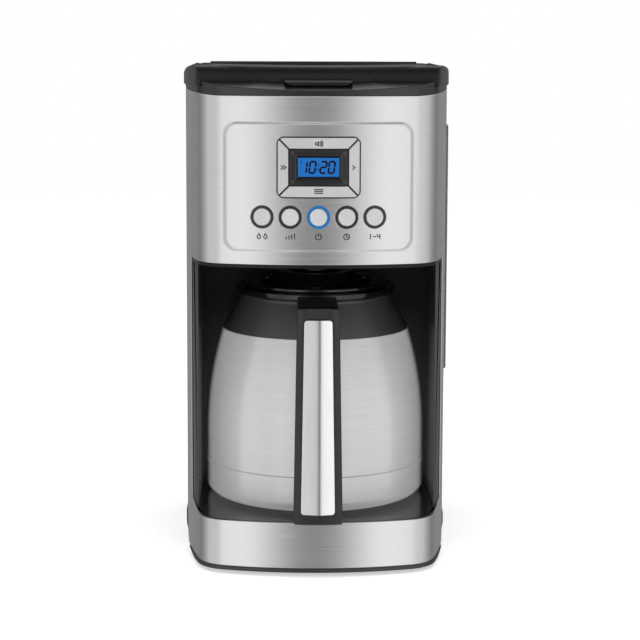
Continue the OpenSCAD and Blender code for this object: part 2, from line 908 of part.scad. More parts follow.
// Outline of one pad in the display's plane: side 0 is above the bezel, then
// 1 to its right, 2 below and 3 to its left. The pads meet at diagonal ribs.
module pad_outline(side, shrink) {
    w = display_w / 2 - 1.2;
    h = display_h / 2 - 1.2;
    bw = bezel_w / 2 + 0.8;
    bh = bezel_h / 2 + 0.8;
    slope = atan2(h - bh, w - bw);
    dx = (0.4 + shrink) / sin(slope);
    dz = (0.4 + shrink) / cos(slope);
    run = 10;
    rise = run * tan(slope);
    turn = side < 2 ? 1 : -1;
    intersection() {
        round_rect(2 * (w - shrink), 2 * (h - shrink), 4.4 - shrink);
        scale_flip(turn) if (side % 2 == 0) intersection() {
            polygon([[dx - bw, bh], [bw - dx, bh], [bw - dx + run, bh + rise],
                [dx - bw - run, bh + rise]]);
            translate([-100, bh + shrink]) square([200, 100]);
        } else intersection() {
            polygon([[bw, dz - bh], [bw, bh - dz], [bw + run, bh - dz + rise],
                [bw + run, dz - bh - rise]]);
            translate([bw + shrink, -100]) square([100, 200]);
        }
    }
}

// Turns an outline by half a turn when turn is -1
module scale_flip(turn) {
    rotate([0, 0, turn < 0 ? 180 : 0]) children();
}

// Layer of the display that follows the bow; out and back count from the wrap's face
module display_layer(out, back) {
    intersection() {
        bow_layer(out, back, display_z - 40, display_z + 40);
        along_y(front_y - 20, front_y + 30) translate([0, display_z]) children();
    }
}

// Frame of the display: rim, diagonal ribs, bezel and the screen's window
module display_frame() {
    color("dimgray") difference() {
        union() {
            display_layer(front_face, -panel_out - seat_gap)
                round_rect(display_w, display_h, 5.6);
            display_layer(front_face - 0.2, frame_t)
                round_rect(display_w - 2, display_h - 2, 4.6);
        }
        for (side = [0 : 3]) {
            display_layer(front_face + cut, pad_seat - front_face) pad_outline(side, 0);
            display_layer(front_face, frame_t + cut) translate(pad_centre(side))
                circle(pad_stem_r + move_gap);
        }
        display_layer(front_face + cut, 1.6) square([bezel_w - 3, bezel_h - 3], center = true);
        display_layer(front_face, frame_t + cut)
            square([screen_w + 1.6, screen_h + 1.6], center = true);
    }
}

pad_seat = pad_t + pad_travel + 0.1;
pad_stem_r = 1.6;

function pad_centre(side) = [
    side % 2 == 0 ? 0 : (side == 1 ? 1 : -1) * (bezel_w + display_w) / 4,
    side % 2 == 1 ? 0 : (side == 0 ? 1 : -1) * (bezel_h + display_h) / 4
];

// Pressable pad with its stem
module pad(side) {
    c = pad_centre(side);
    color("lightgray") {
        display_layer(front_face + 0.3, pad_t - front_face - 0.3) pad_outline(side, 0.2);
        rod_y(c[0], display_z + c[1], front_y - 0.6, board_y - switch_h - pad_travel - 0.1,
            pad_stem_r);
    }
}

module pad_top() pad(0);
module pad_right() pad(1);
module pad_bottom() pad(2);
module pad_left() pad(3);

// Clear window over the screen
module display_lens() {
    color("lightblue", 0.5) display_layer(-1.7, 2.7)
        square([screen_w + 1.4, screen_h + 1.4], center = true);
}

// Screen module between the frame and the board
module lcd_module() {
    color("royalblue") union() {
        translate([0, 0, display_z]) box([-screen_w / 2, front_y + 3.2, -screen_h / 2],
            [screen_w / 2, front_y + 7, screen_h / 2]);
        translate([0, 0, display_z]) box([-screen_w / 2 - 3, front_y + 7, -screen_h / 2 - 3],
            [screen_w / 2 + 3, board_y - 0.05, screen_h / 2 + 3]);
    }
}

// Ring that carries a button, with its flange on the raised panel
module button_ring() {
    difference() {
        union() {
            intersection() {
                rod_y(0, button_z, front_y - 6, front_y + 1, ring_d / 2);
                bow_layer(panel_out + ring_flange, -panel_out - seat_gap, button_z - 20,
                    button_z + 20);
            }
            rod_y(0, button_z, front_y - panel_out - 0.1, front_y + 6, ring_body_r);
        }
        rod_y(0, button_z, front_y - 10, front_y + 20, button_d / 2 + 0.2);
    }
}

// Rings of all buttons but the middle one
module button_rings() {
    color("dimgray") for (i = [0 : button_count - 1])
        if (i != (button_count - 1) / 2) on_bow(button_x(i)) button_ring();
}

// Lit ring of the middle button
module light_ring() {
    color("dodgerblue") button_ring();
}

// Round button with its stem; i counts from the left
module button(i) {
    tilt = bow_angle(button_x(i));
    reach = bow_y - (bow_y - board_y + switch_h + button_travel + 0.2) / cos(tilt);
    color("lightgray") on_bow(button_x(i)) {
        rod_y(0, button_z, front_y - panel_out - ring_flange - 0.4, front_y + 4, button_d / 2);
        rod_y(0, button_z, front_y + 3.9, reach, 2.2);
    }
}

module button_1() button(0);
module button_2() button(1);
module button_3() button(2);
module button_4() button(3);
module button_5() button(4);

// Circuit board behind the panel
module control_board() {
    color("darkgreen") difference() {
        box([-56, board_y, button_z - 14], [56, board_y + board_t, display_z + 24]);
        for (p = board_screws)
            rod_y(p[0], p[1], board_y - cut, board_y + 10, screw_r + 0.2);
    }
}

// Switches under the buttons and the pads
module tact_switches() {
    color("black") {
        for (i = [0 : button_count - 1]) {
            tact_switch((bow_y - board_y) * sin(bow_angle(button_x(i))), button_z);
        }
        for (side = [0 : 3]) {
            c = pad_centre(side);
            tact_switch(c[0], display_z + c[1]);
        }
    }
}

module tact_switch(x, z) {
    box([x - 3, board_y - 2.4, z - 3], [x + 3, board_y - 0.02, z + 3]);
    rod_y(x, z, board_y - switch_h, board_y - 2.39, 1.6);
}

// ---------------------------------------------------- base and water path

// U-shaped tube heater lying in the base, its ends to the back
module heater_tube() {
    color("silver") {
        for (x = [-heater_leg, heater_leg])
            rod_y(x, heater_z, carafe_y, heater_y, heater_d / 2);
        intersection() {
            translate([0, carafe_y, heater_z]) rotate_extrude()
                translate([heater_leg, 0]) circle(heater_d / 2);
            before(carafe_y);
        }
    }
}

// Saddle that holds the heater's legs on the base plate
module heater_bracket() {
    color("gray") difference() {
        box([-heater_leg - 14, carafe_y + 14, foot_h + 2.55],
            [heater_leg + 14, carafe_y + 28, heater_z]);
        for (x = [-heater_leg, heater_leg])
            rod_y(x, heater_z, carafe_y, heater_y, heater_d / 2 + 0.05);
        box([-heater_leg + 14, carafe_y, foot_h + 5], [heater_leg - 14, heater_y, 60]);
    }
}

// Thermostat and fuse, each clipped on a leg of the heater
module thermostat() {
    color("dimgray") {
        translate([0, carafe_y - heater_leg, heater_z + heater_d / 2 + 0.05])
            cylinder(h = 5, r = 8);
        translate([0, carafe_y - heater_leg, heater_z + heater_d / 2 + 5])
            cylinder(h = 3, r = 5);
    }
}

module thermal_fuse() {
    color("white") difference() {
        rod_y(heater_leg, heater_z + heater_d / 2 + 2.1, carafe_y + 2, carafe_y + 13, 2);
        rod_y(heater_leg, heater_z, carafe_y, heater_y, heater_d / 2 + 0.05);
    }
}

// Hose from the tank's outlet down to the heater's left end
module inlet_hose() {
    r = hose_d / 2;
    color("lightgray") union() {
        translate([-tube_x, inlet_y, heater_z]) cylinder(h = tank_z - 0.1 - heater_z, r = r);
        translate([-tube_x, inlet_y, heater_z]) sphere(r);
        rod_y(-tube_x, heater_z, heater_y + 0.1, inlet_y, r);
    }
}

// Hose from the heater's right end up behind the tank and over its rim
module riser_tube() {
    r = hose_d / 2;
    color("lightgray") union() {
        translate([tube_x, tube_y, heater_z]) cylinder(h = riser_z - heater_z, r = r);
        translate([tube_x, tube_y, heater_z]) sphere(r);
        translate([tube_x, tube_y, riser_z]) sphere(r);
        rod_y(tube_x, heater_z, heater_y + 0.1, tube_y, r);
        rod_y(tube_x, riser_z, nozzle_y - r - 2, tube_y, r);
    }
}

// Rubber mouth that meets the lid's duct
module outlet_nozzle() {
    color("black") translate([tube_x, nozzle_y, 0])
        ring(hose_d / 2 + 1, hose_d / 2 - 1.6, riser_z + hose_d / 2 + 0.05, lid_z - 5.3);
}

// Power board standing in the rear of the base
module power_board() {
    color("darkgreen") {
        box([-24, back_y - 71, foot_h + 2.6], [24, back_y - 31, foot_h + 4.2]);
        box([-20, back_y - 67, foot_h + 4.1], [-4, back_y - 51, foot_h + 20]);
        box([2, back_y - 65, foot_h + 4.1], [18, back_y - 45, foot_h + 16]);
    }
}

module feet() {
    color("black") for (x = [-1, 1], y = [front_y + 32, back_y - 42])
        translate([x * (half_w - 33), y, 0]) {
            cylinder(h = foot_h - 0.02, r = 8);
        }
}

// Screws of the base plate and, from behind, of the control board
module housing_screws() {
    back = board_y + board_t;
    color("silver") {
        for (x = [-1, 1], y = boss_y) translate([x * boss_x, y, foot_h + 0.2]) {
            cylinder(h = 1, r = 3);
            cylinder(h = 13, r = screw_r);
        }
        for (p = board_screws) {
            rod_y(p[0], p[1], back + 0.02, back + 1.4, 3);
            rod_y(p[0], p[1], board_y - 7, back + 0.1, screw_r);
        }
    }
}

// Sleeve in the back cover where the cord leaves
gland_x = -56;
gland_z = foot_h + 52;
gland_r = 3.7;
gland_body_r = 5.6;

module cord_gland() {
    color("black") difference() {
        union() {
            rod_y(gland_x, gland_z, back_y - cover_in + 0.05, back_y + 1.2, 8);
            rod_y(gland_x, gland_z, back_y - cover_back - 4, back_y, gland_body_r);
        }
        rod_y(gland_x, gland_z, back_y - 20, back_y + 5, gland_r);
    }
}

// ---------------------------------------------------- carafe

// Outline of the steel body: straight below, drawn in to the shoulder by an arc
body_straight = 48;
body_rise = carafe_h - body_straight;
body_in = carafe_r - shoulder_r;
body_arc = (body_rise * body_rise + body_in * body_in) / (2 * body_in);

module body_profile(inset, z0, z1) {
    intersection() {
        union() {
            translate([0, carafe_z]) square([carafe_r - inset, body_straight + 0.01]);
            intersection() {
                translate([carafe_r - body_arc, carafe_z + body_straight])
                    circle(body_arc - inset, $fn = 360);
                translate([0, carafe_z + body_straight]) square([carafe_r, body_rise + 1]);
            }
        }
        translate([0, z0]) square([200, z1 - z0]);
    }
}

module carafe_shell() {
    color("silver") at_carafe() rotate_extrude() difference() {
        body_profile(0, seam_z, shoulder_z);
        body_profile(carafe_t, seam_z - 5, shoulder_z + 5);
    }
}

// Lower steel cup with a rounded bottom edge
module carafe_cup() {
    color("silver") at_carafe() rotate_extrude() difference() {
        cup_profile(0);
        difference() {
            cup_profile(carafe_t);
            translate([-cut, -cut]) square([300, carafe_z + carafe_t + cut]);
        }
        translate([0, seam_z - 0.3]) square([300, 50]);
    }
}

module cup_profile(inset) {
    r = carafe_r - inset;
    translate([0, carafe_z]) square([r - cup_round + inset, cup_h]);
    translate([0, carafe_z + cup_round]) square([r, cup_h]);
    translate([carafe_r - cup_round, carafe_z + cup_round]) circle(cup_round - inset);
}

// Inner steel vessel: floor, wall, shoulder and neck
module carafe_liner() {
    gap = 5;
    color("gray") at_carafe() rotate_extrude() {
        translate([0, carafe_z + gap]) square([carafe_r - gap, carafe_t]);
        difference() {
            body_profile(gap, carafe_z + gap, shoulder_z - 0.1);
            body_profile(gap + carafe_t, carafe_z, shoulder_z + 5);
        }
        translate([neck_r, shoulder_z - carafe_t - 0.1])
            square([shoulder_r - gap - neck_r, carafe_t]);
        translate([neck_r, shoulder_z - carafe_t - 0.1]) square([carafe_t, 24]);
    }
}

// Outside of the collar, moved out by grow
collar_cone_h = collar_h - 6;

module collar_cone(grow) {
    cone(shoulder_z + 0.1, shoulder_r - 0.2 + grow, shoulder_z + collar_cone_h,
        lip_r - 5.3 + grow);
}

// Black collar: hollow cone, neck bore, upper lip and the pouring spout at the back
module carafe_collar() {
    neck = neck_r + carafe_t + 0.1;
    color("black") at_carafe() difference() {
        union() {
            collar_cone(0);
            cylinder_from(shoulder_z + collar_cone_h - 2, lip_z, lip_r);
            translate([0, lip_r - 8, 0])
                cone(shoulder_z + collar_cone_h - 8, 6, lip_z, 13);
        }
        cylinder_from(shoulder_z - cut, lip_z + cut, neck);
        difference() {
            cone(shoulder_z - 1, shoulder_r - 2.6, shoulder_z + 14, lip_r - 2.4);
            cylinder_from(shoulder_z - cut, shoulder_z + 30, neck + 2.4);
        }
        translate([0, lip_r - 8, 0]) cone(lip_z - 4, 4, lip_z + 0.1, 10.5);
        handle_tenon(fit_gap);
    }
}

// Twist lid: plug, flange, two grip lobes and a dome with the brew-through hole
module carafe_lid() {
    lobe_x = 43;
    color("black") at_carafe() difference() {
        union() {
            cylinder_from(shoulder_z + 6, lip_z + move_gap + 0.5, neck_r - 2.4);
            cylinder_from(lip_z + move_gap, lip_z + 3.3, neck_r + 4);
            cone(lip_z + 3.2, neck_r - 8, dome_z, 30);
            for (a = [0, 180]) rotate([0, 0, a]) intersection() {
                box([0, -13, lip_z + 1], [lobe_x, 13, dome_z - 3.4]);
                cylinder_from(lip_z, dome_z, lobe_x);
            }
        }
        cone(lip_z + 5, 5.6, dome_z + 0.1, 22);
        cylinder_from(shoulder_z, lip_z + 5.1, 5.6);
        ring(neck_r - 6, 8.2, shoulder_z + 5, lip_z + 1);
        ring(neck_r + 5, neck_r - 3.6, shoulder_z + 9.9, shoulder_z + 13.1);
    }
}

module lid_gasket() {
    color("gray") at_carafe()
        ring(neck_r - 0.35, neck_r - 3.5, shoulder_z + 10, shoulder_z + 13);
}

// Light valve in the lid's hole
module brew_valve() {
    color("dimgray") at_carafe() {
        cylinder_from(shoulder_z + 7, lip_z + 4, 5.2);
        cylinder_from(shoulder_z + 4, shoulder_z + 5.9, 8);
        cylinder_from(shoulder_z + 5, shoulder_z + 8, 3);
    }
}

// ---------------------------------------------------- handle

handle_face = front_y - handle_reach;
handle_low = deck_z + handle_lift;
handle_top = lip_z - 1.6;
bracket_low = handle_top - 15;

// Side view of the grip, from its face to its back
module grip_side(inset_front, inset_end) {
    polygon([
        [handle_face + inset_front, handle_low + inset_end],
        [handle_face + handle_t, handle_low + inset_end],
        [handle_face + handle_lean + handle_t, handle_top - inset_end],
        [handle_face + handle_lean + inset_front, handle_top - inset_end]
    ]);
}

// Front view of the grip, tapering towards its top
module grip_front(shrink, z0, z1) {
    rate = (handle_low_w - handle_top_w) / 2 / (handle_top - handle_low);
    w0 = handle_low_w / 2 - rate * (z0 - handle_low) - shrink;
    w1 = handle_low_w / 2 - rate * (z1 - handle_low) - shrink;
    polygon([[-w0, z0], [w0, z0], [w1, z1], [-w1, z1]]);
}

// Tongue of the handle that sits in the collar
module handle_tenon(gap) {
    box([-9 - gap, -lip_r - 5, bracket_low + 2 - gap],
        [9 + gap, -lip_r + 5.5 + gap, handle_top - 5 + gap]);
}

insert_low = handle_low + 7;
insert_high = handle_top - 8;

module handle_frame() {
    color("black") difference() {
        union() {
            intersection() {
                along_x(-30, 30) grip_side(0, 0);
                along_y(handle_face - 5, front_y + 40) grip_front(0, handle_low, handle_top);
            }
            intersection() {
                along_x(-30, 30) polygon([
                    [handle_face + handle_lean + 3, bracket_low - 14],
                    [handle_face + handle_lean + handle_t + 6, bracket_low - 4],
                    [carafe_y - lip_r + 4, bracket_low], [carafe_y - lip_r + 4, handle_top],
                    [handle_face + handle_lean + 3, handle_top]
                ]);
                along_y(handle_face - 5, front_y + 60) grip_front(1, handle_low, handle_top);
                difference() {
                    before(carafe_y);
                    at_carafe() cylinder_from(0, 400, lip_r + 0.05);
                    at_carafe() collar_cone(0.1);
                }
            }
            at_carafe() handle_tenon(0);
        }
        intersection() {
            along_x(-30, 30) polygon([
                [handle_face - 5, insert_low - 0.1], [handle_face + 2.4, insert_low - 0.1],
                [handle_face + handle_lean + 1.7, insert_high + 0.1],
                [handle_face - 5, insert_high + 0.1]
            ]);
            along_y(handle_face - 9, front_y + 60)
                grip_front(4.9, insert_low - 0.1, insert_high + 0.1);
        }
        for (z = [bracket_low - 30, handle_low + 40])
            rod_y(0, z, handle_face - 10, handle_face + 60, screw_r + 0.05);
    }
}

// Steel plate let into the face of the grip
module handle_insert() {
    color("silver") intersection() {
        along_x(-30, 30) polygon([
            [handle_face + 0.7, insert_low], [handle_face + 1.7, insert_low],
            [handle_face + handle_lean + 1, insert_high], [handle_face + handle_lean, insert_high]
        ]);
        along_y(handle_face - 9, front_y + 60) grip_front(5, insert_low, insert_high);
    }
}

// Screws that hold the insert from the back of the grip
module handle_screws() {
    lean = handle_lean / (handle_top - handle_low);
    color("silver") for (z = [bracket_low - 30, handle_low + 40]) {
        y = handle_face + lean * (z - handle_low);
        rod_y(0, z, y + 4, y + handle_t, screw_r);
        rod_y(0, z, y + handle_t + 0.3, y + handle_t + 1.6, 2.8);
        rod_y(0, z, y + handle_t - 0.5, y + handle_t + 0.6, screw_r);
    }
}

steel_wrap();
front_chassis();
bay_liner();
rear_cover();
base_plinth();
base_plate();
carafe_platform();
top_cap();
water_tank();
water_window();
brew_chamber();
filter_basket();
permanent_filter();
charcoal_holder();
charcoal_pod();
reservoir_lid();
lid_liner();
showerhead();
hinge_pin();
drip_stop_plunger();
drip_stop_spring();
drip_stop_seal();
display_frame();
display_lens();
lcd_module();
pad_top();
pad_bottom();
pad_left();
pad_right();
button_1();
button_2();
button_3();
button_4();
button_5();
button_rings();
light_ring();
control_board();
tact_switches();
heater_tube();
heater_bracket();
thermostat();
thermal_fuse();
inlet_hose();
riser_tube();
outlet_nozzle();
power_board();
feet();
housing_screws();
cord_gland();
carafe_shell();
carafe_cup();
carafe_liner();
carafe_collar();
carafe_lid();
lid_gasket();
brew_valve();
handle_frame();
handle_insert();
handle_screws();
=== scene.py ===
"""Looks of a drip coffee maker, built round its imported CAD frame.

Lengths in this file are millimetres until a mesh is made; meshes are in metres, in
the row frame: X to the right, Y to the back, Z up, the front towards -Y.
"""

import json
import math

import bmesh
import bpy
from mathutils import Matrix, Vector


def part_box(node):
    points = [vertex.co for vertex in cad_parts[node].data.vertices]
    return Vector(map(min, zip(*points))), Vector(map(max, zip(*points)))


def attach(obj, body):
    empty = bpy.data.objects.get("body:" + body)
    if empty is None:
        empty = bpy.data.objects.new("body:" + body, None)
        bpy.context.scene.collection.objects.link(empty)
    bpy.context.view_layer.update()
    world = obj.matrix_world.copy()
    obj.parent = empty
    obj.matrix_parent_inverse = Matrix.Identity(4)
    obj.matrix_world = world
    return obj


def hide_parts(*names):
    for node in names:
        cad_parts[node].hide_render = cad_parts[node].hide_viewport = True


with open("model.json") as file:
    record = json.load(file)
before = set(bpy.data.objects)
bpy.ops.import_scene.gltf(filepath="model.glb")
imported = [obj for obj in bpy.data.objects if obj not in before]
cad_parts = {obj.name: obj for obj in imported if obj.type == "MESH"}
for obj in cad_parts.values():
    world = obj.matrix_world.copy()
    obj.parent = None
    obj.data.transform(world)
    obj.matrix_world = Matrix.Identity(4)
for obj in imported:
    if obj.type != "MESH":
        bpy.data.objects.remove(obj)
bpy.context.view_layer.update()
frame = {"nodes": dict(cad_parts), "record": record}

MM = 0.001


def span(node):
    """Lowest and highest corner of a CAD node, in millimetres."""
    low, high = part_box(node)
    return low / MM, high / MM


# ------------------------------------------------------------------ dimensions
FRONT_R = 250.0      # bow of the housing's front
CORNER_R = 26.0      # its front corners
SIDE_R = 320.0       # bow of its sides
SHEET = 1.0          # thickness of the steel
COVER_STEP = 0.3     # how far the steel stands before the rear cover's sides
SIDE_RISE = 3.6      # how far the steel's upper edge rises to the back
PLINTH_DROP = 15.5   # from the deck down to the steel's lower edge at its sides
WINDOW_EDGE = 5.8    # steel left beside the carafe's window
WINDOW_R = 9.5       # lower corners of the window
PANEL_OUT = 1.2      # how far the control panel is pressed out
PANEL_SLOPE = 2.3    # width of the pressed edge
PANEL_LIFT = 9.0     # from the window up to the panel
PANEL_W, PANEL_H, PANEL_R = 134.0, 92.0, 10.0
DISPLAY_W, DISPLAY_H, DISPLAY_R = 57.4, 41.6, 4.6    # the steel's opening for the display
BUTTON_PITCH = 19.8  # along the bow
BOW_SHARE = 0.997    # of that pitch, as seen straight from the front
RING_LAP = 0.6       # how far a button's ring covers the steel
LIP_R = 61.0         # rim of the carafe's collar
SHOULDER_R = 71.0    # top of its steel shell

wrap_low, wrap_high = span("steel_wrap")
half_w = span("rear_cover")[1].x + COVER_STEP
front_y = wrap_low.y + PANEL_OUT
wrap_back = wrap_high.y
wrap_low_z = wrap_low.z
wrap_top = wrap_high.z - SIDE_RISE
deck_z = span("carafe_platform")[1].z
ceiling_z = span("brew_chamber")[0].z - 0.1
plinth_top = deck_z - PLINTH_DROP
window_half = half_w - WINDOW_EDGE

panel_low, panel_high = ceiling_z + PANEL_LIFT, ceiling_z + PANEL_LIFT + PANEL_H
display_z = (span("display_frame")[0].z + span("display_frame")[1].z) / 2
button_z = (span("button_3")[0].z + span("button_3")[1].z) / 2
button_r = span("button_3")[1].x
ring_r = span("light_ring")[1].x

shell_low, shell_high = span("carafe_shell")
carafe_y = (shell_low.y + shell_high.y) / 2
carafe_r = shell_high.x
carafe_z = span("carafe_cup")[0].z
seam_z, shoulder_z = shell_low.z, shell_high.z
lip_z = span("carafe_collar")[1].z

bow_y = front_y + FRONT_R
side_x, side_y = half_w - SIDE_R, carafe_y + 5.5


def corner_plan(half, front, r):
    """Centre of the front corner between bow and side, and the angles where it starts and ends."""
    bow, side = Vector((0.0, front + FRONT_R)), Vector((side_x, side_y))
    far, near = FRONT_R - r, half - side_x - r
    apart = side - bow
    reach = (far * far - near * near + apart.length_squared) / (2 * far * apart.length)
    tilt = math.atan2(apart.y, apart.x) + math.acos(reach)
    c = bow + far * Vector((math.cos(tilt), math.sin(tilt)))
    return c, tilt, math.atan2(c.y - side.y, c.x - side.x)


corner, tilt, lean = corner_plan(half_w, front_y, CORNER_R)
bow_len = FRONT_R * (tilt + math.pi / 2)
corner_len = CORNER_R * (lean - tilt)


# --------------------------------------------------------------- mesh helpers
def make(name, verts, faces, unit=MM):
    """Mesh object from points in millimetres."""
    mesh = bpy.data.meshes.new(name)
    mesh.from_pydata([Vector(v) * unit for v in verts], [], faces)
    piece = bpy.data.objects.new(name, mesh)
    bpy.context.scene.collection.objects.link(piece)
    return piece


def shade(piece, angle=35.0):
    """Smooth shading with sharp edges above the angle."""
    for face in piece.data.polygons:
        face.use_smooth = True
    piece.data.set_sharp_from_angle(angle=math.radians(angle))
    return piece


def edit(piece, work):
    """Runs work(bm) on a piece's mesh."""
    bm = bmesh.new()
    bm.from_mesh(piece.data)
    work(bm)
    bmesh.ops.recalc_face_normals(bm, faces=bm.faces)
    bm.to_mesh(piece.data)
    bm.free()
    piece.data.update()
    return piece


def round_edges(piece, width, segments=2, angle=35.0):
    """Bevels the edges that turn by more than angle."""
    def work(bm):
        bmesh.ops.remove_doubles(bm, verts=bm.verts, dist=1e-6)
        edges = [
            e for e in bm.edges
            if len(e.link_faces) == 2 and e.calc_face_angle(0) > math.radians(angle)
        ]
        bmesh.ops.bevel(
            bm, geom=edges, offset=width * MM, offset_type="OFFSET", segments=segments,
            profile=0.5, affect="EDGES", clamp_overlap=False,
        )
    edit(piece, work)
    return shade(piece)


def skin(rings, closed=True, cap_low=True, cap_high=True, start=0):
    """Faces over rings of points, each with the same count; rings run as closed loops."""
    count = len(rings[0])
    faces = []
    for k in range(len(rings) - 1):
        low, high = start + k * count, start + (k + 1) * count
        for i in range(count if closed else count - 1):
            j = (i + 1) % count
            faces.append((low + i, low + j, high + j, high + i))
    if cap_low:
        faces.append(tuple(range(start, start + count))[::-1])
    if cap_high:
        top = start + (len(rings) - 1) * count
        faces.append(tuple(range(top, top + count)))
    return faces


def loft(name, rings, closed=True, cap_low=True, cap_high=True):
    """Piece over rings of points."""
    verts = [p for ring in rings for p in ring]
    piece = make(name, verts, skin(rings, closed, cap_low, cap_high))
    return edit(piece, lambda bm: bmesh.ops.remove_doubles(bm, verts=bm.verts, dist=1e-7))


def join(name, solids):
    """One piece from several ring stacks."""
    verts, faces = [], []
    for rings in solids:
        faces += skin(rings, start=len(verts))
        verts += [p for ring in rings for p in ring]
    return edit(make(name, verts, faces), lambda bm: None)


def turned(name, profile, steps, place, closed=True):
    """Turns a profile of (radius, height) points; place(x, y, height) puts a point in its place."""
    rings = []
    for k in range(steps):
        a = 2 * math.pi * k / steps
        rings.append([place(r * math.cos(a), r * math.sin(a), h) for r, h in profile])
    return loft(name, rings + rings[:1], closed, False, False)


def prism(name, outline, low, high, axis="y"):
    """Extrudes a plane outline along an axis: (x, z) along y, (y, z) along x, (x, y) along z."""
    place = {
        "y": lambda p, t: (p[0], t, p[1]),
        "x": lambda p, t: (t, p[0], p[1]),
        "z": lambda p, t: (p[0], p[1], t),
    }[axis]
    return loft(name, [[place(p, low) for p in outline], [place(p, high) for p in outline]])


def fillet(points, radius, steps=5):
    """Rounds the corners of an outline; radius is one number or one per corner."""
    made = []
    count = len(points)
    for i, p in enumerate(points):
        r = radius[i] if isinstance(radius, (list, tuple)) else radius
        if r <= 0:
            made.append(tuple(p))
            continue
        here = Vector(p)
        to_last = Vector(points[i - 1]) - here
        to_next = Vector(points[(i + 1) % count]) - here
        half = to_last.angle(to_next) / 2
        reach = min(r / math.tan(half), to_last.length * 0.48, to_next.length * 0.48)
        a, b = here + to_last.normalized() * reach, here + to_next.normalized() * reach
        for k in range(steps + 1):
            t = k / steps
            q = a * (1 - t) ** 2 + here * (2 * t * (1 - t)) + b * t ** 2
            made.append(tuple(q))
    return made


def arc(centre, r, start, end, steps):
    """Points of an arc, angles in degrees."""
    made = []
    for k in range(steps + 1):
        a = math.radians(start + (end - start) * k / steps)
        made.append((centre[0] + r * math.cos(a), centre[1] + r * math.sin(a)))
    return made


def lathe(name, profile, steps=192, centre=None):
    """Turns a closed profile of (radius, height) points about the carafe's axis."""
    cx, cy = centre or (0.0, carafe_y)
    return turned(name, profile, steps, lambda x, y, z: (cx + x, cy + y, z))


def rounded_rect(w, h, r, steps=6):
    """Outline of a rectangle with round corners."""
    made = []
    for k, (sx, sy) in enumerate(((1, 1), (-1, 1), (-1, -1), (1, -1))):
        made += arc((sx * (w / 2 - r), sy * (h / 2 - r)), r, 90 * k, 90 * k + 90, steps)
    return made


def box_distance(x, z, half_x, half_z, r):
    """Distance inside a rounded box round the origin; negative outside."""
    qx, qz = abs(x) - (half_x - r), abs(z) - (half_z - r)
    return r - math.hypot(max(qx, 0.0), max(qz, 0.0)) - min(max(qx, qz), 0.0)


def ease(t):
    """Smooth step from 0 to 1."""
    t = min(max(t, 0.0), 1.0)
    return t * t * (3 - 2 * t)


# ------------------------------------------------------------- node materials
def fill(made, **values):
    """Sets a node's inputs; underscores stand for the spaces in their names."""
    for key, value in values.items():
        made.inputs[key.replace("_", " ")].default_value = value


def material(name, **values):
    """New material with its Principled shader, set to values."""
    made = bpy.data.materials.new(name)
    made.use_nodes = True
    shader = made.node_tree.nodes["Principled BSDF"]
    fill(shader, **values)
    return made, made.node_tree, shader


def node(tree, kind, **values):
    """Adds a node; names ending in _in set its inputs, others its settings."""
    made = tree.nodes.new(kind)
    for key, value in values.items():
        if key.endswith("_in"):
            fill(made, **{key[:-3]: value})
        else:
            setattr(made, key, value)
    return made


def noise(tree, scale, detail=3.0, rough=0.5):
    """Noise over object coordinates in metres, scaled per axis."""
    coords = node(tree, "ShaderNodeTexCoord")
    mapping = node(tree, "ShaderNodeMapping", Scale_in=scale)
    made = node(tree, "ShaderNodeTexNoise", Scale_in=1.0, Detail_in=detail, Roughness_in=rough)
    tree.links.new(coords.outputs["Object"], mapping.inputs["Vector"])
    tree.links.new(mapping.outputs["Vector"], made.inputs["Vector"])
    return made.outputs["Fac"]


def ramp(tree, value, low, high, at):
    """Maps a value to a range of greys or colours."""
    made = node(tree, "ShaderNodeValToRGB")
    made.color_ramp.elements[0].position, made.color_ramp.elements[1].position = at
    made.color_ramp.elements[0].color, made.color_ramp.elements[1].color = low, high
    tree.links.new(value, made.inputs["Fac"])
    return made.outputs["Color"]


def vary(tree, shader, socket, value, low, high, at=(0.3, 0.7)):
    """Feeds a shader's socket from a value's ramp."""
    tree.links.new(ramp(tree, value, low, high, at), shader.inputs[socket])


def bump(tree, shader, height, strength, distance):
    made = node(tree, "ShaderNodeBump", Strength_in=strength, Distance_in=distance)
    tree.links.new(height, made.inputs["Height"])
    tree.links.new(made.outputs["Normal"], shader.inputs["Normal"])


def grey(v):
    return (v, v, v, 1.0)


def tint(color, factor):
    return (color[0] * factor, color[1] * factor, color[2] * factor, 1.0)


def brushed(name, color, roughness=0.3, grain=(45.0, 45.0, 2300.0), contrast=0.05,
            metallic=1.0, rim=0.0):
    """Brushed steel: long fine scratches, from fine noise stretched along the brushing.

    grain is scratches per metre along each axis; rim is the strength of a painted glow that the
    turning sides of a round piece emit in place of light they would reflect.
    """
    made, tree, shader = material(name, Metallic=metallic, Anisotropic=0.6, Anisotropic_Rotation=0.25)
    fine = noise(tree, grain, 4.0, 0.65)
    coarse = noise(tree, tuple(g * 0.27 for g in grain), 2.0)
    both = node(tree, "ShaderNodeMix", data_type="FLOAT", Factor_in=0.4)
    tree.links.new(fine, both.inputs[2])
    tree.links.new(coarse, both.inputs[3])
    mixed = both.outputs[0]
    vary(tree, shader, "Base Color", mixed, tint(color, 1 - contrast), tint(color, 1 + contrast),
         (0.35, 0.65))
    vary(tree, shader, "Roughness", mixed, grey(roughness - 0.05), grey(roughness + 0.07))
    tangent = node(tree, "ShaderNodeTangent", direction_type="RADIAL", axis="Z")
    tree.links.new(tangent.outputs["Tangent"], shader.inputs["Tangent"])
    bump(tree, shader, mixed, 0.35, 0.00002)
    # painted glow on the turning sides, emitted in place of reflected light
    if rim > 0:
        painted_rim_glow(tree, shader, rim)
    return made


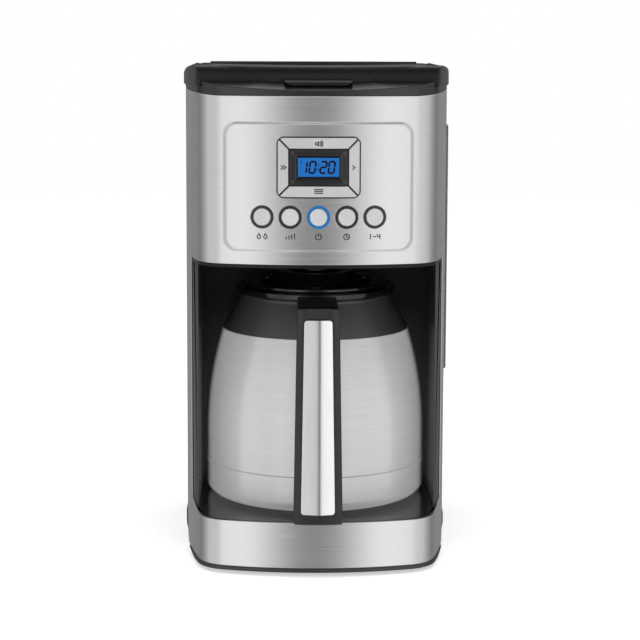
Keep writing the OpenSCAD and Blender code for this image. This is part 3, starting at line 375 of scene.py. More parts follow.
def painted_rim_glow(tree, shader, strength):
    """Painted reflection: a faint emitted glow where a surface turns away from the eye, dying out at its
    very edge.
    """
    facing = node(tree, "ShaderNodeLayerWeight", Blend_in=0.5)
    share = node(tree, "ShaderNodeValToRGB")
    stops = share.color_ramp.elements
    for at, value in ((0.12, 0.0), (0.66, 1.0), (0.72, 0.9)):
        stops.new(at).color = grey(value)
    stops[0].color = stops[-1].color = grey(0.0)
    stops[-1].position = 0.86
    scaled = node(tree, "ShaderNodeMath", operation="MULTIPLY")
    scaled.inputs[1].default_value = strength
    tree.links.new(facing.outputs["Facing"], share.inputs["Fac"])
    tree.links.new(share.outputs["Color"], scaled.inputs[0])
    tree.links.new(scaled.outputs[0], shader.inputs["Emission Strength"])
    fill(shader, Emission_Color=grey(1.0))


def plastic(name, color, roughness, grain=900.0, depth=0.00004, specular=0.5):
    """Moulded plastic: spark-eroded grain per metre, its depth in metres, faint wear in the gloss."""
    made, tree, shader = material(name, Specular_IOR_Level=specular)
    cloud = noise(tree, (22.0,) * 3)
    vary(tree, shader, "Base Color", cloud, tint(color, 0.92), tint(color, 1.08))
    vary(tree, shader, "Roughness", cloud, grey(roughness - 0.03), grey(roughness + 0.04))
    bump(tree, shader, noise(tree, (grain,) * 3, 2.0), 0.25, depth)
    return made


def clear(name, color, roughness, transmission, ior=1.49):
    """Translucent plastic or glass."""
    made, tree, shader = material(name, Roughness=roughness, Transmission_Weight=transmission, IOR=ior)
    cloud = noise(tree, (40.0,) * 3, 2.0)
    vary(tree, shader, "Base Color", cloud, tint(color, 0.95), tint(color, 1.05))
    return made


def glowing(name, color, strength):
    """Evenly lit surface, such as a backlit screen or a light ring."""
    made, tree, shader = material(name, Emission_Strength=strength, Base_Color=tint(color, 0.1),
                                  Roughness=0.35, Specular_IOR_Level=0.2)
    cloud = noise(tree, (60.0,) * 3, 2.0)
    vary(tree, shader, "Emission Color", cloud, tint(color, 0.94), tint(color, 1.06))
    return made


def wire_mesh(name, color):
    """Fine woven or etched metal mesh: a grid of tiny holes as bump and tone."""
    made, tree, shader = material(name, Metallic=1.0, Roughness=0.38)
    cells = node(tree, "ShaderNodeTexVoronoi", Scale_in=1400.0, Randomness_in=0.0)
    coords = node(tree, "ShaderNodeTexCoord")
    tree.links.new(coords.outputs["Object"], cells.inputs["Vector"])
    distance = cells.outputs["Distance"]
    vary(tree, shader, "Base Color", distance, tint(color, 0.35), tint(color, 1.1), (0.15, 0.4))
    bump(tree, shader, distance, 0.6, 0.0002)
    return made


def fibres(name, color):
    """Non-woven cloth."""
    made, tree, shader = material(name, Roughness=0.9, Sheen_Weight=0.3)
    threads = noise(tree, (260.0, 900.0, 420.0), 6.0, 0.7)
    vary(tree, shader, "Base Color", threads, tint(color, 0.8), tint(color, 1.05))
    bump(tree, shader, threads, 0.6, 0.0004)
    return made


steel = brushed("wrap_steel", (0.56, 0.56, 0.565), 0.30)
# the carafe's steel gets a painted glow on its turning sides (rim), emitted in place of reflected light
pot_steel = brushed("pot_steel", (0.62, 0.62, 0.625), 0.34, (60.0, 60.0, 2300.0), 0.06,
                    metallic=0.2, rim=0.2)
plate_steel = brushed("plate_steel", (0.66, 0.66, 0.665), 0.15, (900.0, 900.0, 40.0), 0.03)
inner_steel = brushed("inner_steel", (0.5, 0.5, 0.5), 0.36)
bright_steel = brushed("bright_steel", (0.62, 0.62, 0.62), 0.2, (500.0, 500.0, 500.0), 0.03)
heater_metal = brushed("heater_metal", (0.5, 0.5, 0.5), 0.42, (300.0, 20.0, 300.0), 0.06)
case_black = plastic("case_black", (0.020, 0.020, 0.022), 0.42)
bay_black = plastic("bay_black", (0.045, 0.045, 0.047), 0.34, 700.0, 0.00003)
deck_black = plastic("deck_black", (0.012, 0.012, 0.013), 0.14, 700.0, 0.00001)
gloss_black = plastic("gloss_black", (0.006, 0.006, 0.0065), 0.13, 500.0, 0.000005)
frame_black = plastic("frame_black", (0.042, 0.042, 0.044), 0.38, 700.0, 0.00003)
cap_black = plastic("cap_black", (0.007, 0.007, 0.0075), 0.26, 500.0, 0.00001)
lid_black = plastic("lid_black", (0.006, 0.006, 0.0065), 0.32, 500.0, 0.00001, 0.2)
collar_black = plastic("collar_black", (0.05, 0.05, 0.052), 0.40, 800.0, 0.00003)
handle_black = plastic("handle_black", (0.013, 0.013, 0.014), 0.34, 800.0, 0.00002, 0.35)
basket_black = plastic("basket_black", (0.045, 0.045, 0.048), 0.45)
display_black = plastic("display_black", (0.010, 0.010, 0.011), 0.18, 400.0, 0.00001)
pad_silver = plastic("pad_silver", (0.46, 0.46, 0.46), 0.42, 700.0, 0.00002, 0.35)
cap_silver = plastic("cap_silver", (0.52, 0.52, 0.52), 0.34, 700.0, 0.00002, 0.35)
print_black = plastic("print_black", (0.012, 0.012, 0.012), 0.5, 1200.0, 0.00001)
digit_navy = plastic("digit_navy", (0.002, 0.004, 0.03), 0.5, 1200.0, 0.00001, 0.1)
board_green = plastic("board_green", (0.015, 0.09, 0.04), 0.35, 300.0, 0.0001)
phenolic = plastic("phenolic", (0.10, 0.055, 0.03), 0.5)
fuse_white = plastic("fuse_white", (0.75, 0.75, 0.72), 0.3)
hose_pale = plastic("hose_pale", (0.55, 0.55, 0.53), 0.4, 200.0, 0.0001)
rubber = plastic("soft_rubber", (0.014, 0.014, 0.014), 0.75, 600.0, 0.0001, 0.3)
tank_smoke = clear("tank_smoke", (0.42, 0.44, 0.47), 0.18, 0.55)
window_smoke = clear("window_smoke", (0.16, 0.17, 0.18), 0.16, 0.35)
lens_clear = clear("lens_clear", (0.95, 0.97, 1.0), 0.03, 1.0, 1.12)
screen_blue = glowing("screen_blue", (0.008, 0.165, 0.55), 0.8)
ring_blue = glowing("ring_blue", (0.012, 0.17, 0.46), 0.85)
gold_mesh = wire_mesh("gold_mesh", (0.75, 0.56, 0.24))
charcoal_cloth = fibres("charcoal_cloth", (0.7, 0.7, 0.67))


# --------------------------------------------------------------- placing pieces
BODY = {n: b for b, ns in frame["record"]["behaviour"]["bodies"].items() for n in ns}


def settle(piece, look, cad_node, replace=True):
    """Gives a piece its material, and its body from the CAD node it stands for."""
    piece.data.materials.clear()
    piece.data.materials.append(look)
    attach(piece, BODY[cad_node])
    if replace:
        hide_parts(cad_node)
    return piece


def paint(look, *nodes):
    """Gives CAD nodes that stay their material."""
    for name in nodes:
        cad = frame["nodes"][name]
        cad.data.materials.clear()
        cad.data.materials.append(look)


def applied(piece):
    """Bakes a piece's modifiers into its mesh."""
    graph = bpy.context.evaluated_depsgraph_get()
    mesh = bpy.data.meshes.new_from_object(piece.evaluated_get(graph))
    piece.modifiers.clear()
    piece.data = mesh


def second_look(piece, look, chosen):
    """Gives the faces whose centre, in millimetres, is chosen a second material."""
    piece.data.materials.append(look)
    for face in piece.data.polygons:
        if chosen(face.center / MM):
            face.material_index = 1


def dress(cad_node, look, width=0.3, segments=2):
    """Piece in the shape of a CAD node, with its sharp edges rounded."""
    mesh = frame["nodes"][cad_node].data.copy()
    piece = bpy.data.objects.new(cad_node + "_finish", mesh)
    bpy.context.scene.collection.objects.link(piece)
    def clean(bm):
        bmesh.ops.remove_doubles(bm, verts=bm.verts, dist=2e-6)
        bmesh.ops.dissolve_limit(
            bm, angle_limit=math.radians(0.5), verts=bm.verts, edges=bm.edges,
            use_dissolve_boundaries=False,
        )
    edit(piece, clean)
    round_edges(piece, width, segments, 32.0)
    even = piece.modifiers.new("even_shading", "WEIGHTED_NORMAL")
    even.keep_sharp = True
    applied(piece)
    return settle(piece, look, cad_node)


# --------------------------------------------------------------- steel wrap
def on_plan(s, out=0.0):
    """Point and outward normal of the housing's outline, s along it from the front's middle."""
    side = -1.0 if s < 0 else 1.0
    s = abs(s)
    if s <= bow_len:
        a, c, r = s / FRONT_R - math.pi / 2, (0.0, bow_y), FRONT_R
    elif s <= bow_len + corner_len:
        a, c, r = tilt + (s - bow_len) / CORNER_R, corner, CORNER_R
    else:
        a, c, r = lean + (s - bow_len - corner_len) / SIDE_R, (side_x, side_y), SIDE_R
    nx, ny = math.cos(a), math.sin(a)
    return side * (c[0] + (r + out) * nx), c[1] + (r + out) * ny, side * nx, ny


def wrap_bottom(y):
    """Lower edge of the wrap: level, with an arc up to its rear corners."""
    r = plinth_top - wrap_low_z
    t = max(y - (wrap_back - r), 0.0)
    return plinth_top - math.sqrt(max(r * r - t * t, 0.0))


def wrap_crest(y):
    """Upper edge of the wrap: level in front, then rising along the sides."""
    stops = ((front_y + 10.0, 0.0), (front_y + 23.0, 0.4), (wrap_back, 1.0))    # share of the rise
    for (a, low), (b, high) in zip(stops, stops[1:]):
        if y <= b:
            return wrap_top + SIDE_RISE * (low + (high - low) * max(y - a, 0.0) / (b - a))
    return wrap_top + SIDE_RISE


def window_distance(x, z):
    """Distance inside the carafe's window, round at its lower corners."""
    if z > deck_z + WINDOW_R:
        return min(window_half - abs(x), ceiling_z - z)
    return box_distance(x, z - deck_z - WINDOW_R, window_half, WINDOW_R, WINDOW_R)


def display_distance(x, z):
    return box_distance(x, z - display_z, DISPLAY_W / 2, DISPLAY_H / 2, DISPLAY_R)


def button_distance(x, z):
    nearest = min(range(-2, 3), key=lambda i: abs(x - i * BUTTON_PITCH))
    return ring_r - RING_LAP - math.hypot(x - nearest * BUTTON_PITCH * BOW_SHARE, z - button_z)


HOLES = (window_distance, display_distance, button_distance)


def steps_between(stops):
    """Values from stop to stop, each stretch with its own step: [(value, step), ...]."""
    made = [stops[0][0]]
    for (a, step), (b, _) in zip(stops, stops[1:]):
        count = max(1, round((b - a) / step))
        made += [a + (b - a) * (k + 1) / count for k in range(count)]
    return made


def wrap_grid():
    """Columns along the outline and levels up the wrap, close together where it bends or is cut."""
    corner_s = bow_len + corner_len
    edge_s = corner_s + SIDE_R * (-math.acos((window_half - side_x) / SIDE_R) - lean)
    end_s = corner_s + SIDE_R * (math.asin((wrap_back - side_y) / SIDE_R) - lean)
    right = steps_between([(0, 0.9), (bow_len + 2, 1.4), (edge_s - 10, 0.8), (edge_s, 0.9),
                           (edge_s + 6, 2.0), (end_s - 18, 1.0), (end_s, 1)])
    levels = steps_between([
        (wrap_low_z, 1.2), (deck_z, 0.7), (deck_z + WINDOW_R, 9.0), (ceiling_z, 1.5),
        (panel_low - 1, 0.6), (panel_low + 4, 1.0), (panel_high - 4, 0.6), (panel_high + 2, 1.4),
        (wrap_top, 1),
    ])
    return [-s for s in right[:0:-1]] + right, levels


def wrap_level(v, y):
    """Height of a grid level at y: even in the middle, bent to the wrap's edges at both ends."""
    fixed_top = panel_high + 3.0
    if v < deck_z:
        low = wrap_bottom(y)
        return low + (v - wrap_low_z) / (deck_z - wrap_low_z) * (deck_z - low)
    if v > fixed_top:
        return fixed_top + (v - fixed_top) / (wrap_top - fixed_top) * (wrap_crest(y) - fixed_top)
    return v


def snapped(s, z, tiny=0.01):
    """Moves a point of the grid onto the rim of the nearest hole."""
    for _ in range(3):
        x = on_plan(s)[0]
        hole = max(HOLES, key=lambda h: h(x, z))
        gs = (hole(on_plan(s + tiny)[0], z) - hole(on_plan(s - tiny)[0], z)) / (2 * tiny)
        gz = (hole(x, z + tiny) - hole(x, z - tiny)) / (2 * tiny)
        steep = gs * gs + gz * gz
        if steep > 1e-6:
            step = hole(x, z) / steep
            s, z = s - step * gs, z - step * gz
    return s, z


def pressed(x, z):
    """How far the sheet is pressed out at (x, z)."""
    inside = box_distance(x, z - (panel_low + panel_high) / 2, PANEL_W / 2, PANEL_H / 2, PANEL_R)
    return PANEL_OUT * ease(inside / PANEL_SLOPE)


def cell(i, k):
    """Corners of a cell of the grid."""
    return (i, k), (i + 1, k), (i + 1, k + 1), (i, k + 1)


def steel_wrap():
    """Sheet bent round front and sides: a grid without the cells in its holes, made thick."""
    columns, levels = wrap_grid()
    spots = {}
    for i, s in enumerate(columns):
        for k, v in enumerate(levels):
            spots[i, k] = (s, wrap_level(v, on_plan(s)[1]))
    kept, used = [], {}
    for i in range(len(columns) - 1):
        x = on_plan((columns[i] + columns[i + 1]) / 2)[0]
        for k in range(len(levels) - 1):
            z = (spots[i, k][1] + spots[i + 1, k + 1][1]) / 2
            if all(hole(x, z) < 0 for hole in HOLES):
                kept.append((i, k))
                for spot in cell(i, k):
                    used[spot] = used.get(spot, 0) + 1
    for (i, k), count in used.items():
        if count < 4 and 0 < i < len(columns) - 1 and 0 < k < len(levels) - 1:
            spots[i, k] = snapped(*spots[i, k])
    number, verts = {}, []
    for spot in used:
        s, z = spots[spot]
        out = pressed(on_plan(s)[0], z)
        for depth in (0.0, SHEET):
            px, py, _, _ = on_plan(s, out - depth)
            number[spot, depth] = len(verts)
            verts.append((px, py, z))
    faces, rim = [], {}
    for i, k in kept:
        loop = cell(i, k)
        faces.append([number[c, 0.0] for c in loop])
        faces.append([number[c, SHEET] for c in loop[::-1]])
        for a, b in zip(loop, loop[1:] + loop[:1]):
            if rim.pop((b, a), None) is None:
                rim[a, b] = True
    for a, b in rim:
        faces.append([number[b, 0.0], number[a, 0.0], number[a, SHEET], number[b, SHEET]])
    piece = make("steel_wrap_sheet", verts, faces)
    round_edges(piece, 0.25, 2, 50.0)
    return settle(piece, steel, "steel_wrap")


steel_wrap()


# --------------------------------------------------------------- housing shells
LIP_H = 5.0        # the chassis is darker from this far below the window's top
VISOR_D = 19.3     # the cap is glossier before this depth
RIM_SKIN = 1.4     # the cap's rim is what lies this near its top
RIM_FALL = 1.8     # how far the rim falls to the back

chassis = dress("front_chassis", frame_black, 0.35)
second_look(chassis, lid_black, lambda p: p.z > ceiling_z - LIP_H)
dress("bay_liner", bay_black, 0.3)
dress("rear_cover", case_black, 0.4)
dress("base_plinth", case_black, 0.35)
dress("base_plate", case_black, 0.3)
dress("carafe_platform", deck_black, 0.3)
cap = dress("top_cap", cap_black, 0.5, 3)
rim_z = span("top_cap")[1].z - RIM_SKIN
for v in cap.data.vertices:
    if v.co.z > rim_z * MM:
        v.co.z -= RIM_FALL * MM * ease((v.co.y / MM - front_y - 24.0) / 110.0)
second_look(cap, lid_black, lambda p: p.y > front_y + VISOR_D)
dress("water_window", window_smoke, 0.4)
dress("brew_chamber", handle_black, 0.3)
dress("feet", rubber, 0.5)
dress("cord_gland", case_black, 0.4)


# --------------------------------------------------------------- reservoir lid
def lid_outline():
    """Lid's plan: bowed front and sides, straight back."""
    low, high = span("lid_liner")
    edge, r_front, r_rear = 2.35, 16.0, 8.0    # edge is how far it passes its liner
    half, front, back = high.x + edge, low.y - edge, high.y + edge
    c, first, last = corner_plan(half, front, r_front)
    first, last = math.degrees(first), math.degrees(last)
    right = arc((0.0, front + FRONT_R), FRONT_R, -90, first, 18)
    right += arc(c, r_front, first, last, 10)[1:]
    right += arc((side_x, side_y), half - side_x, last, 0, 10)[1:]
    right += arc((half - r_rear, back - r_rear), r_rear, 0, 90, 8)
    made = right + [(-x, y) for x, y in right[:0:-1]]
    dense = []
    for p, q in zip(made, made[1:] + made[:1]):
        parts = 1 + int(math.hypot(q[0] - p[0], q[1] - p[1]) // 9)
        dense += [(p[0] + (q[0] - p[0]) * k / parts, p[1] + (q[1] - p[1]) * k / parts)
                  for k in range(parts)]
    return dense


def lid_shell(lid_z, top):
    """Lid: a turned-in foot, a rounded edge that is fuller in front, and a dished top."""
    outer = lid_outline()
    count = len(outer)
    front, back = min(p[1] for p in outer), max(p[1] for p in outer)
    dish, fall = 1.4, 3.0
    front_round, side_round = 11.5, 3.5
    foot = ((2.2, 2.0), (2.2, 0.2), (1.9, 0.0), (0.3, 0.0), (0.0, 0.3))    # inset, height

    def height(x, y):
        """Top of the lid: a shallow dish across, falling to the back."""
        share = ease((y - front - 8.0) / (back - front - 20.0))
        return top - dish * (1 - (x / half_w) ** 2) - fall * share

    normals = []
    for i in range(count):
        a, b = outer[i - 1], outer[(i + 1) % count]
        t = Vector((b[0] - a[0], b[1] - a[1])).normalized()
        normals.append((t.y, -t.x))

    def edge_ring(angle):
        """Ring on the rounded edge: angle 0 is its foot, 90 its top."""
        a = math.radians(angle)
        made = []
        for p, n in zip(outer, normals):
            share = ease((front + 34.0 - p[1]) / 30.0)
            r = side_round + (front_round - side_round) * share
            x, y = p[0] - n[0] * r * (1 - math.cos(a)), p[1] - n[1] * r * (1 - math.cos(a))
            made.append((x, y, height(x, y) - r + r * math.sin(a)))
        return made

    rings = [
        [(p[0] - n[0] * inset, p[1] - n[1] * inset, lid_z + up) for p, n in zip(outer, normals)]
        for inset, up in foot
    ]
    rings += [edge_ring(a) for a in range(0, 91, 10)]
    last = rings[-1]
    middle = sum(p[1] for p in last) / count
    for f in (0.97, 0.9, 0.75, 0.55, 0.35, 0.15):
        ring = [(p[0] * f, middle + (p[1] - middle) * f) for p in last]
        rings.append([(x, y, height(x, y)) for x, y in ring])
    settle(shade(loft("lid_shell", rings), 40), lid_black, "reservoir_lid")


def lid_tab(lid_z, tab_front):
    """Grip tab under the lid's front edge, narrower at its foot."""
    half, taper, drop = 24.5, 0.19, 3.2
    tab = prism("lid_tab", fillet([
        (tab_front + 13.0, lid_z + 0.3), (tab_front + 13.0, lid_z + 1.8),
        (tab_front + 4.5, lid_z + 0.6), (tab_front + 0.5, lid_z - 0.6),
        (tab_front, lid_z - 3.0), (tab_front + 1.6, lid_z - 2.9),
        (tab_front + 6.5, lid_z - 1.4), (tab_front + 10.5, lid_z - 0.2),
    ], 1.2, 4), -half, half, "x")

    def narrow(bm):
        for v in bm.verts:
            below = lid_z - v.co.z / MM
            if below > 0:
                v.co.x *= 1 - taper * min(below / drop, 1.0)
    edit(tab, narrow)
    round_edges(tab, 0.9, 3, 40)
    settle(tab, lid_black, "reservoir_lid", replace=False)


def lid_hinge():
    """Barrel round the hinge pin, and the web that carries it."""
    pin_low, pin_high = span("hinge_pin")
    hinge_y, hinge_z = (pin_low.y + pin_high.y) / 2, (pin_low.z + pin_high.z) / 2
    reach, r, chamfer = 83.5, 2.9, 0.5
    barrel = turned("lid_barrel", [
        (0.0, -reach), (r - chamfer, -reach), (r, chamfer - reach), (r, reach - chamfer),
        (r - chamfer, reach), (0.0, reach),
    ], 48, lambda y, z, x: (x, hinge_y + y, hinge_z + z), closed=False)
    settle(shade(barrel, 40), lid_black, "reservoir_lid", replace=False)
    near, far, under, over = hinge_y - r - 3.1, hinge_y - 1.0, hinge_z - 1.1, hinge_z + r - 1.2
    web = prism("lid_web", [(near, under), (far, under), (far, over), (near, over)],
                1 - reach, reach - 1, "x")
    round_edges(web, 0.3)
    settle(web, lid_black, "reservoir_lid", replace=False)


def reservoir_lid():
    low, high = span("reservoir_lid")
    lid_z = span("lid_liner")[0].z - 1.0
    lid_shell(lid_z, high.z)
    lid_tab(lid_z, low.y)
    lid_hinge()


reservoir_lid()
dress("lid_liner", basket_black, 0.3)
dress("showerhead", basket_black, 0.4)


# --------------------------------------------------------------- carafe
SHELL_T = 0.8      # sheet of the carafe
SHELL_STRAIGHT = 48.0    # up to here its side is straight


def carafe_shell():
    """Upper shell: straight, then drawn in along an arc."""
    straight_z = carafe_z + SHELL_STRAIGHT
    rise, inward = shoulder_z - straight_z, carafe_r - SHOULDER_R
    arc_r = (rise * rise + inward * inward) / (2 * inward)
    outer = [(carafe_r, seam_z + 0.1), (carafe_r, straight_z)]
    for k in range(1, 25):
        z = straight_z + rise * k / 24
        outer.append((carafe_r - arc_r + math.sqrt(arc_r ** 2 - (z - straight_z) ** 2), z))
    inner = [(r - SHELL_T, z) for r, z in outer[::-1]]
    edge, top = [(carafe_r - 0.3, seam_z)], [(SHOULDER_R - 0.3, shoulder_z + 0.05)]
    shell = lathe("carafe_shell_skin", edge + outer + top + inner)
    settle(shade(shell, 60), pot_steel, "carafe_shell")


def carafe_cup():
    """Lower cup: round foot, and a fine seam below the shell."""
    foot_r, gap, ring, hollow = 8.0, 0.35, 22.0, 26.0
    middle = (carafe_r - foot_r, carafe_z + foot_r)
    cup = [(0.0, carafe_z + 1.2), (carafe_r - hollow, carafe_z + 1.2), (carafe_r - ring, carafe_z),
           (carafe_r - foot_r, carafe_z)]
    cup += arc(middle, foot_r, -90, 0, 14)[1:]
    cup += [(carafe_r, seam_z - gap - 0.3), (carafe_r - 0.3, seam_z - gap),
            (carafe_r - SHELL_T, seam_z - gap)]
    cup += arc(middle, foot_r - SHELL_T, 0, -90, 8)
    cup += [(carafe_r - ring, carafe_z + SHELL_T), (carafe_r - hollow, carafe_z + 2.0),
            (0.0, carafe_z + 2.0)]
    settle(shade(lathe("carafe_cup_skin", cup), 40), pot_steel, "carafe_cup")


def carafe_collar():
    """Black cone with a glossy rim, and the spout at its back."""
    bore, cone_top = 51.0, lip_z - 6.0
    ring = lathe("carafe_collar_skin", fillet([
        (bore, shoulder_z + 0.2), (SHOULDER_R - 0.2, shoulder_z + 0.15),
        (LIP_R - 5.5, cone_top - 0.5), (LIP_R - 0.2, cone_top + 2.0), (LIP_R, lip_z - 0.1),
        (LIP_R - 2.2, lip_z), (LIP_R - 2.8, lip_z - 0.8), (bore, lip_z - 0.8),
    ], [0.3, 0.5, 2.0, 1.0, 1.2, 0.3, 0.3, 0.3]))
    settle(shade(ring, 40), collar_black, "carafe_collar")
    second_look(ring, gloss_black, lambda p: p.z > cone_top - 0.2)

    spout = lathe("carafe_spout", fillet([
        (4.0, cone_top - 6.0), (6.2, cone_top - 6.0), (12.8, lip_z - 0.4), (12.2, lip_z),
        (10.8, lip_z), (4.0, lip_z - 4.0),
    ], 0.3, 3), 64, (0.0, carafe_y + LIP_R - 8.0))
    settle(shade(spout, 40), gloss_black, "carafe_collar", replace=False)


def carafe_lid():
    """Twist lid: disc with a low dome, a funnel in its middle and two wings to grip."""
    low, high = span("carafe_lid")
    outer, base, top = high.x, lip_z + 0.3, high.z
    neck, foot = outer - 6.4, low.z
    body = lathe("carafe_lid_body", fillet([
        (5.6, foot), (neck, foot), (neck, foot + 3.9), (neck - 1.2, foot + 3.9),
        (neck - 1.2, foot + 7.1), (neck, foot + 7.1), (neck, base), (outer, base),
        (outer, base + 3.0), (outer - 10.0, base + 3.4), (31.0, top - 1.6), (29.0, top),
        (22.4, top), (5.6, base + 4.7),
    ], [0.3, 0.5, 0, 0, 0, 0, 0, 0.5, 1.4, 3.0, 3.0, 1.0, 0.6, 0.5]))
    settle(shade(body, 50), gloss_black, "carafe_lid")
    for side, word in ((-1, "left"), (1, "right")):
        outline = fillet([(24.0, -12.0), (38.0, -11.0), (43.0, -4.0), (43.0, 4.0), (38.0, 11.0),
                          (24.0, 12.0)], [0, 4, 4, 4, 4, 0])
        wing = prism(f"carafe_lid_wing_{word}", [(side * x, carafe_y + y) for x, y in outline],
                     base + 1.0, top - 3.2, "z")
        round_edges(wing, 1.3, 4, 40)
        settle(wing, gloss_black, "carafe_lid", replace=False)


carafe_shell()
carafe_cup()
carafe_collar()
carafe_lid()
dress("brew_valve", basket_black, 0.4)
paint(rubber, "lid_gasket")
paint(inner_steel, "carafe_liner")


# --------------------------------------------------------------- handle
HANDLE_LEAN = 8.0     # its top stands this far behind its foot
HANDLE_T = 13.0       # depth of the grip
HANDLE_SAG = 1.8      # bow of its face
PLATE_EDGE = 5.0      # plastic left beside the plate
PLATE_GAP = 0.15
PLATE_R = 2.4
GRIP_FOOT, GRIP_TOP = 17.5, 15.0    # half of the grip's width at its foot and top

grip_low, grip_high = span("handle_frame")
plate_low, plate_high = span("handle_insert")


def grip_share(z):
    return (z - grip_low.z) / (grip_high.z - grip_low.z)


def grip_face(z):
    """Y of the grip's face."""
    return grip_low.y + HANDLE_LEAN * grip_share(z)


def grip_half(z):
    return GRIP_FOOT + (GRIP_TOP - GRIP_FOOT) * grip_share(z)


def plate_half(z, margin=0.0):
    return grip_half(z) - PLATE_EDGE + margin


def grip_section(z, shrink=0.0):
    """Ring round the grip: bowed face, round corners, fuller round at the back."""
    w, y0 = grip_half(z) - shrink, grip_face(z) + shrink
    y1 = grip_face(z) + HANDLE_T - shrink
    front = [(w * k / 4, y0 + HANDLE_SAG * (k / 4) ** 2) for k in range(-4, 5)]
    ring = fillet(front + [(w, y1), (-w, y1)], [1.6] + [0] * 7 + [1.6, 4.5, 4.5], 6)
    return [(x, y, z) for x, y in ring]


def handle_grip():
    """Leaning grip with a pocket for the plate and a recess in its top."""
    foot = ((1.6, 0.0), (0.75, 0.25), (0.25, 0.75), (0.0, 1.6))    # shrink, height
    head = ((0.0, 1.4), (0.2, 0.7), (0.6, 0.2), (1.2, 0.0))
    rings = [grip_section(grip_low.z + dz, shrink) for shrink, dz in foot]
    straight = grip_high.z - grip_low.z - 3.0
    rings += [grip_section(grip_low.z + 1.6 + straight * k / 24) for k in range(1, 24)]
    rings += [grip_section(grip_high.z - dz, shrink) for shrink, dz in head]
    grip = loft("handle_grip", rings)

    low, high = plate_low.z - PLATE_GAP, plate_high.z + PLATE_GAP
    outline = fillet([
        (-plate_half(low, PLATE_GAP), low), (plate_half(low, PLATE_GAP), low),
        (plate_half(high, PLATE_GAP), high), (-plate_half(high, PLATE_GAP), high),
    ], 2.6, 6)
    pocket = loft("handle_cutter", [
        [(x, grip_face(z) + depth, z) for x, z in outline] for depth in (-6.0, 3.6)
    ])
    recess = prism("recess_cutter", [
        (-7.5, grip_high.z - 7.4), (7.5, grip_high.z - 7.4),
        (9.0, grip_high.z + 2.0), (-9.0, grip_high.z + 2.0),
    ], grip_face(grip_high.z) - 5.0, grip_face(grip_high.z) + 2.6, "y")
    for tool in (pocket, recess):
        cut = grip.modifiers.new("cut", "BOOLEAN")
        cut.object, cut.operation, cut.solver = tool, "DIFFERENCE", "EXACT"
    applied(grip)
    for tool in (pocket, recess):
        bpy.data.objects.remove(tool)
    round_edges(grip, 0.35, 2, 50.0)
    settle(grip, handle_black, "handle_frame")


def fold(x):
    """Two nearly flat halves that meet in a soft ridge, a little right of the middle."""
    t = x - 1.0
    return (0.19 if t > 0 else 0.15) * (math.sqrt(t * t + 1.2) - 1.1)


def handle_plate():
    """Folded steel plate with round corners, on a grid of rows up the grip."""
    count, depth, thick = 40, 0.55, 1.0
    a, b = plate_low.z, plate_high.z
    ends = (0.0, 0.35, 0.9, 1.7, 2.6)
    inner = b - a - 2 * ends[-1]
    heights = [a + e for e in ends] + [a + ends[-1] + inner * k / 30 for k in range(1, 30)]
    heights += [b - e for e in ends[::-1]]
    verts = []
    for z in heights:
        near = min(z - a, b - z, PLATE_R)
        w = plate_half(z) - PLATE_R + math.sqrt(max(PLATE_R ** 2 - (PLATE_R - near) ** 2, 0.0))
        for k in range(count + 1):
            x = w * (2 * k / count - 1)
            verts.append((x, grip_face(z) + depth + fold(x), z))
    back, width, rows = len(verts), count + 1, len(heights)
    verts += [(x, y + thick, z) for x, y, z in verts]
    faces = []
    for k in range(rows - 1):
        for i in range(count):
            q = (k * width + i, k * width + i + 1, (k + 1) * width + i + 1, (k + 1) * width + i)
            faces.append(q)
            faces.append(tuple(back + n for n in q[::-1]))
    rim = list(range(width))
    rim += [k * width + count for k in range(1, rows)]
    rim += [(rows - 1) * width + i for i in range(count - 1, -1, -1)]
    rim += [k * width for k in range(rows - 2, 0, -1)]
    for p, q in zip(rim, rim[1:] + rim[:1]):
        faces.append((q, p, back + p, back + q))
    plate = make("handle_plate", verts, faces)
    round_edges(plate, 0.2, 2, 50.0)
    settle(plate, plate_steel, "handle_insert")


def handle_arm():
    """Bracket from the grip's top to the collar."""
    reach, under = carafe_y - LIP_R + 5.0, grip_high.z - 15.0
    near = grip_low.y + HANDLE_LEAN
    arm = prism("handle_arm", fillet([
        (near + 5.0, under - 12.0), (near + HANDLE_T + 5.0, under - 3.0),
        (reach - 6.0, under), (reach, under + 2.0), (reach, grip_high.z),
        (near + 4.0, grip_high.z),
    ], [1, 6, 2, 0.5, 0.5, 1]), -14.4, 14.4, "x")
    round_edges(arm, 1.2, 3, 50.0)
    settle(arm, handle_black, "handle_frame", replace=False)


handle_grip()
handle_plate()
handle_arm()
paint(bright_steel, "handle_screws", "hinge_pin", "housing_screws", "drip_stop_spring")


# --------------------------------------------------------------- control panel
def bow_front(x, out):
    """Y of the surface that lies out before the wrap's face."""
    return bow_y - math.sqrt((FRONT_R + out) ** 2 - x * x)


dress("display_frame", display_black, 0.22)
PADS = ("pad_top", "pad_right", "pad_bottom", "pad_left")
PAD_GROWTH = Matrix.Diagonal((1.016, 1.0, 1.022, 1.0))    # leaves a thin line round the pads
middle = Matrix.Translation(Vector((0, 0, display_z)) * MM)
for pad in PADS:
    piece = dress(pad, pad_silver, 0.2, 2)
    piece.data.transform(middle @ PAD_GROWTH @ middle.inverted())


SCREEN_W, SCREEN_H = 29.0, 13.2    # opening over the screen
SCREEN_OUT = -1.2                  # its face lies this far before the wrap's
BEZEL = (5.3, 5.2)                 # width of the frame at the sides, and above and below


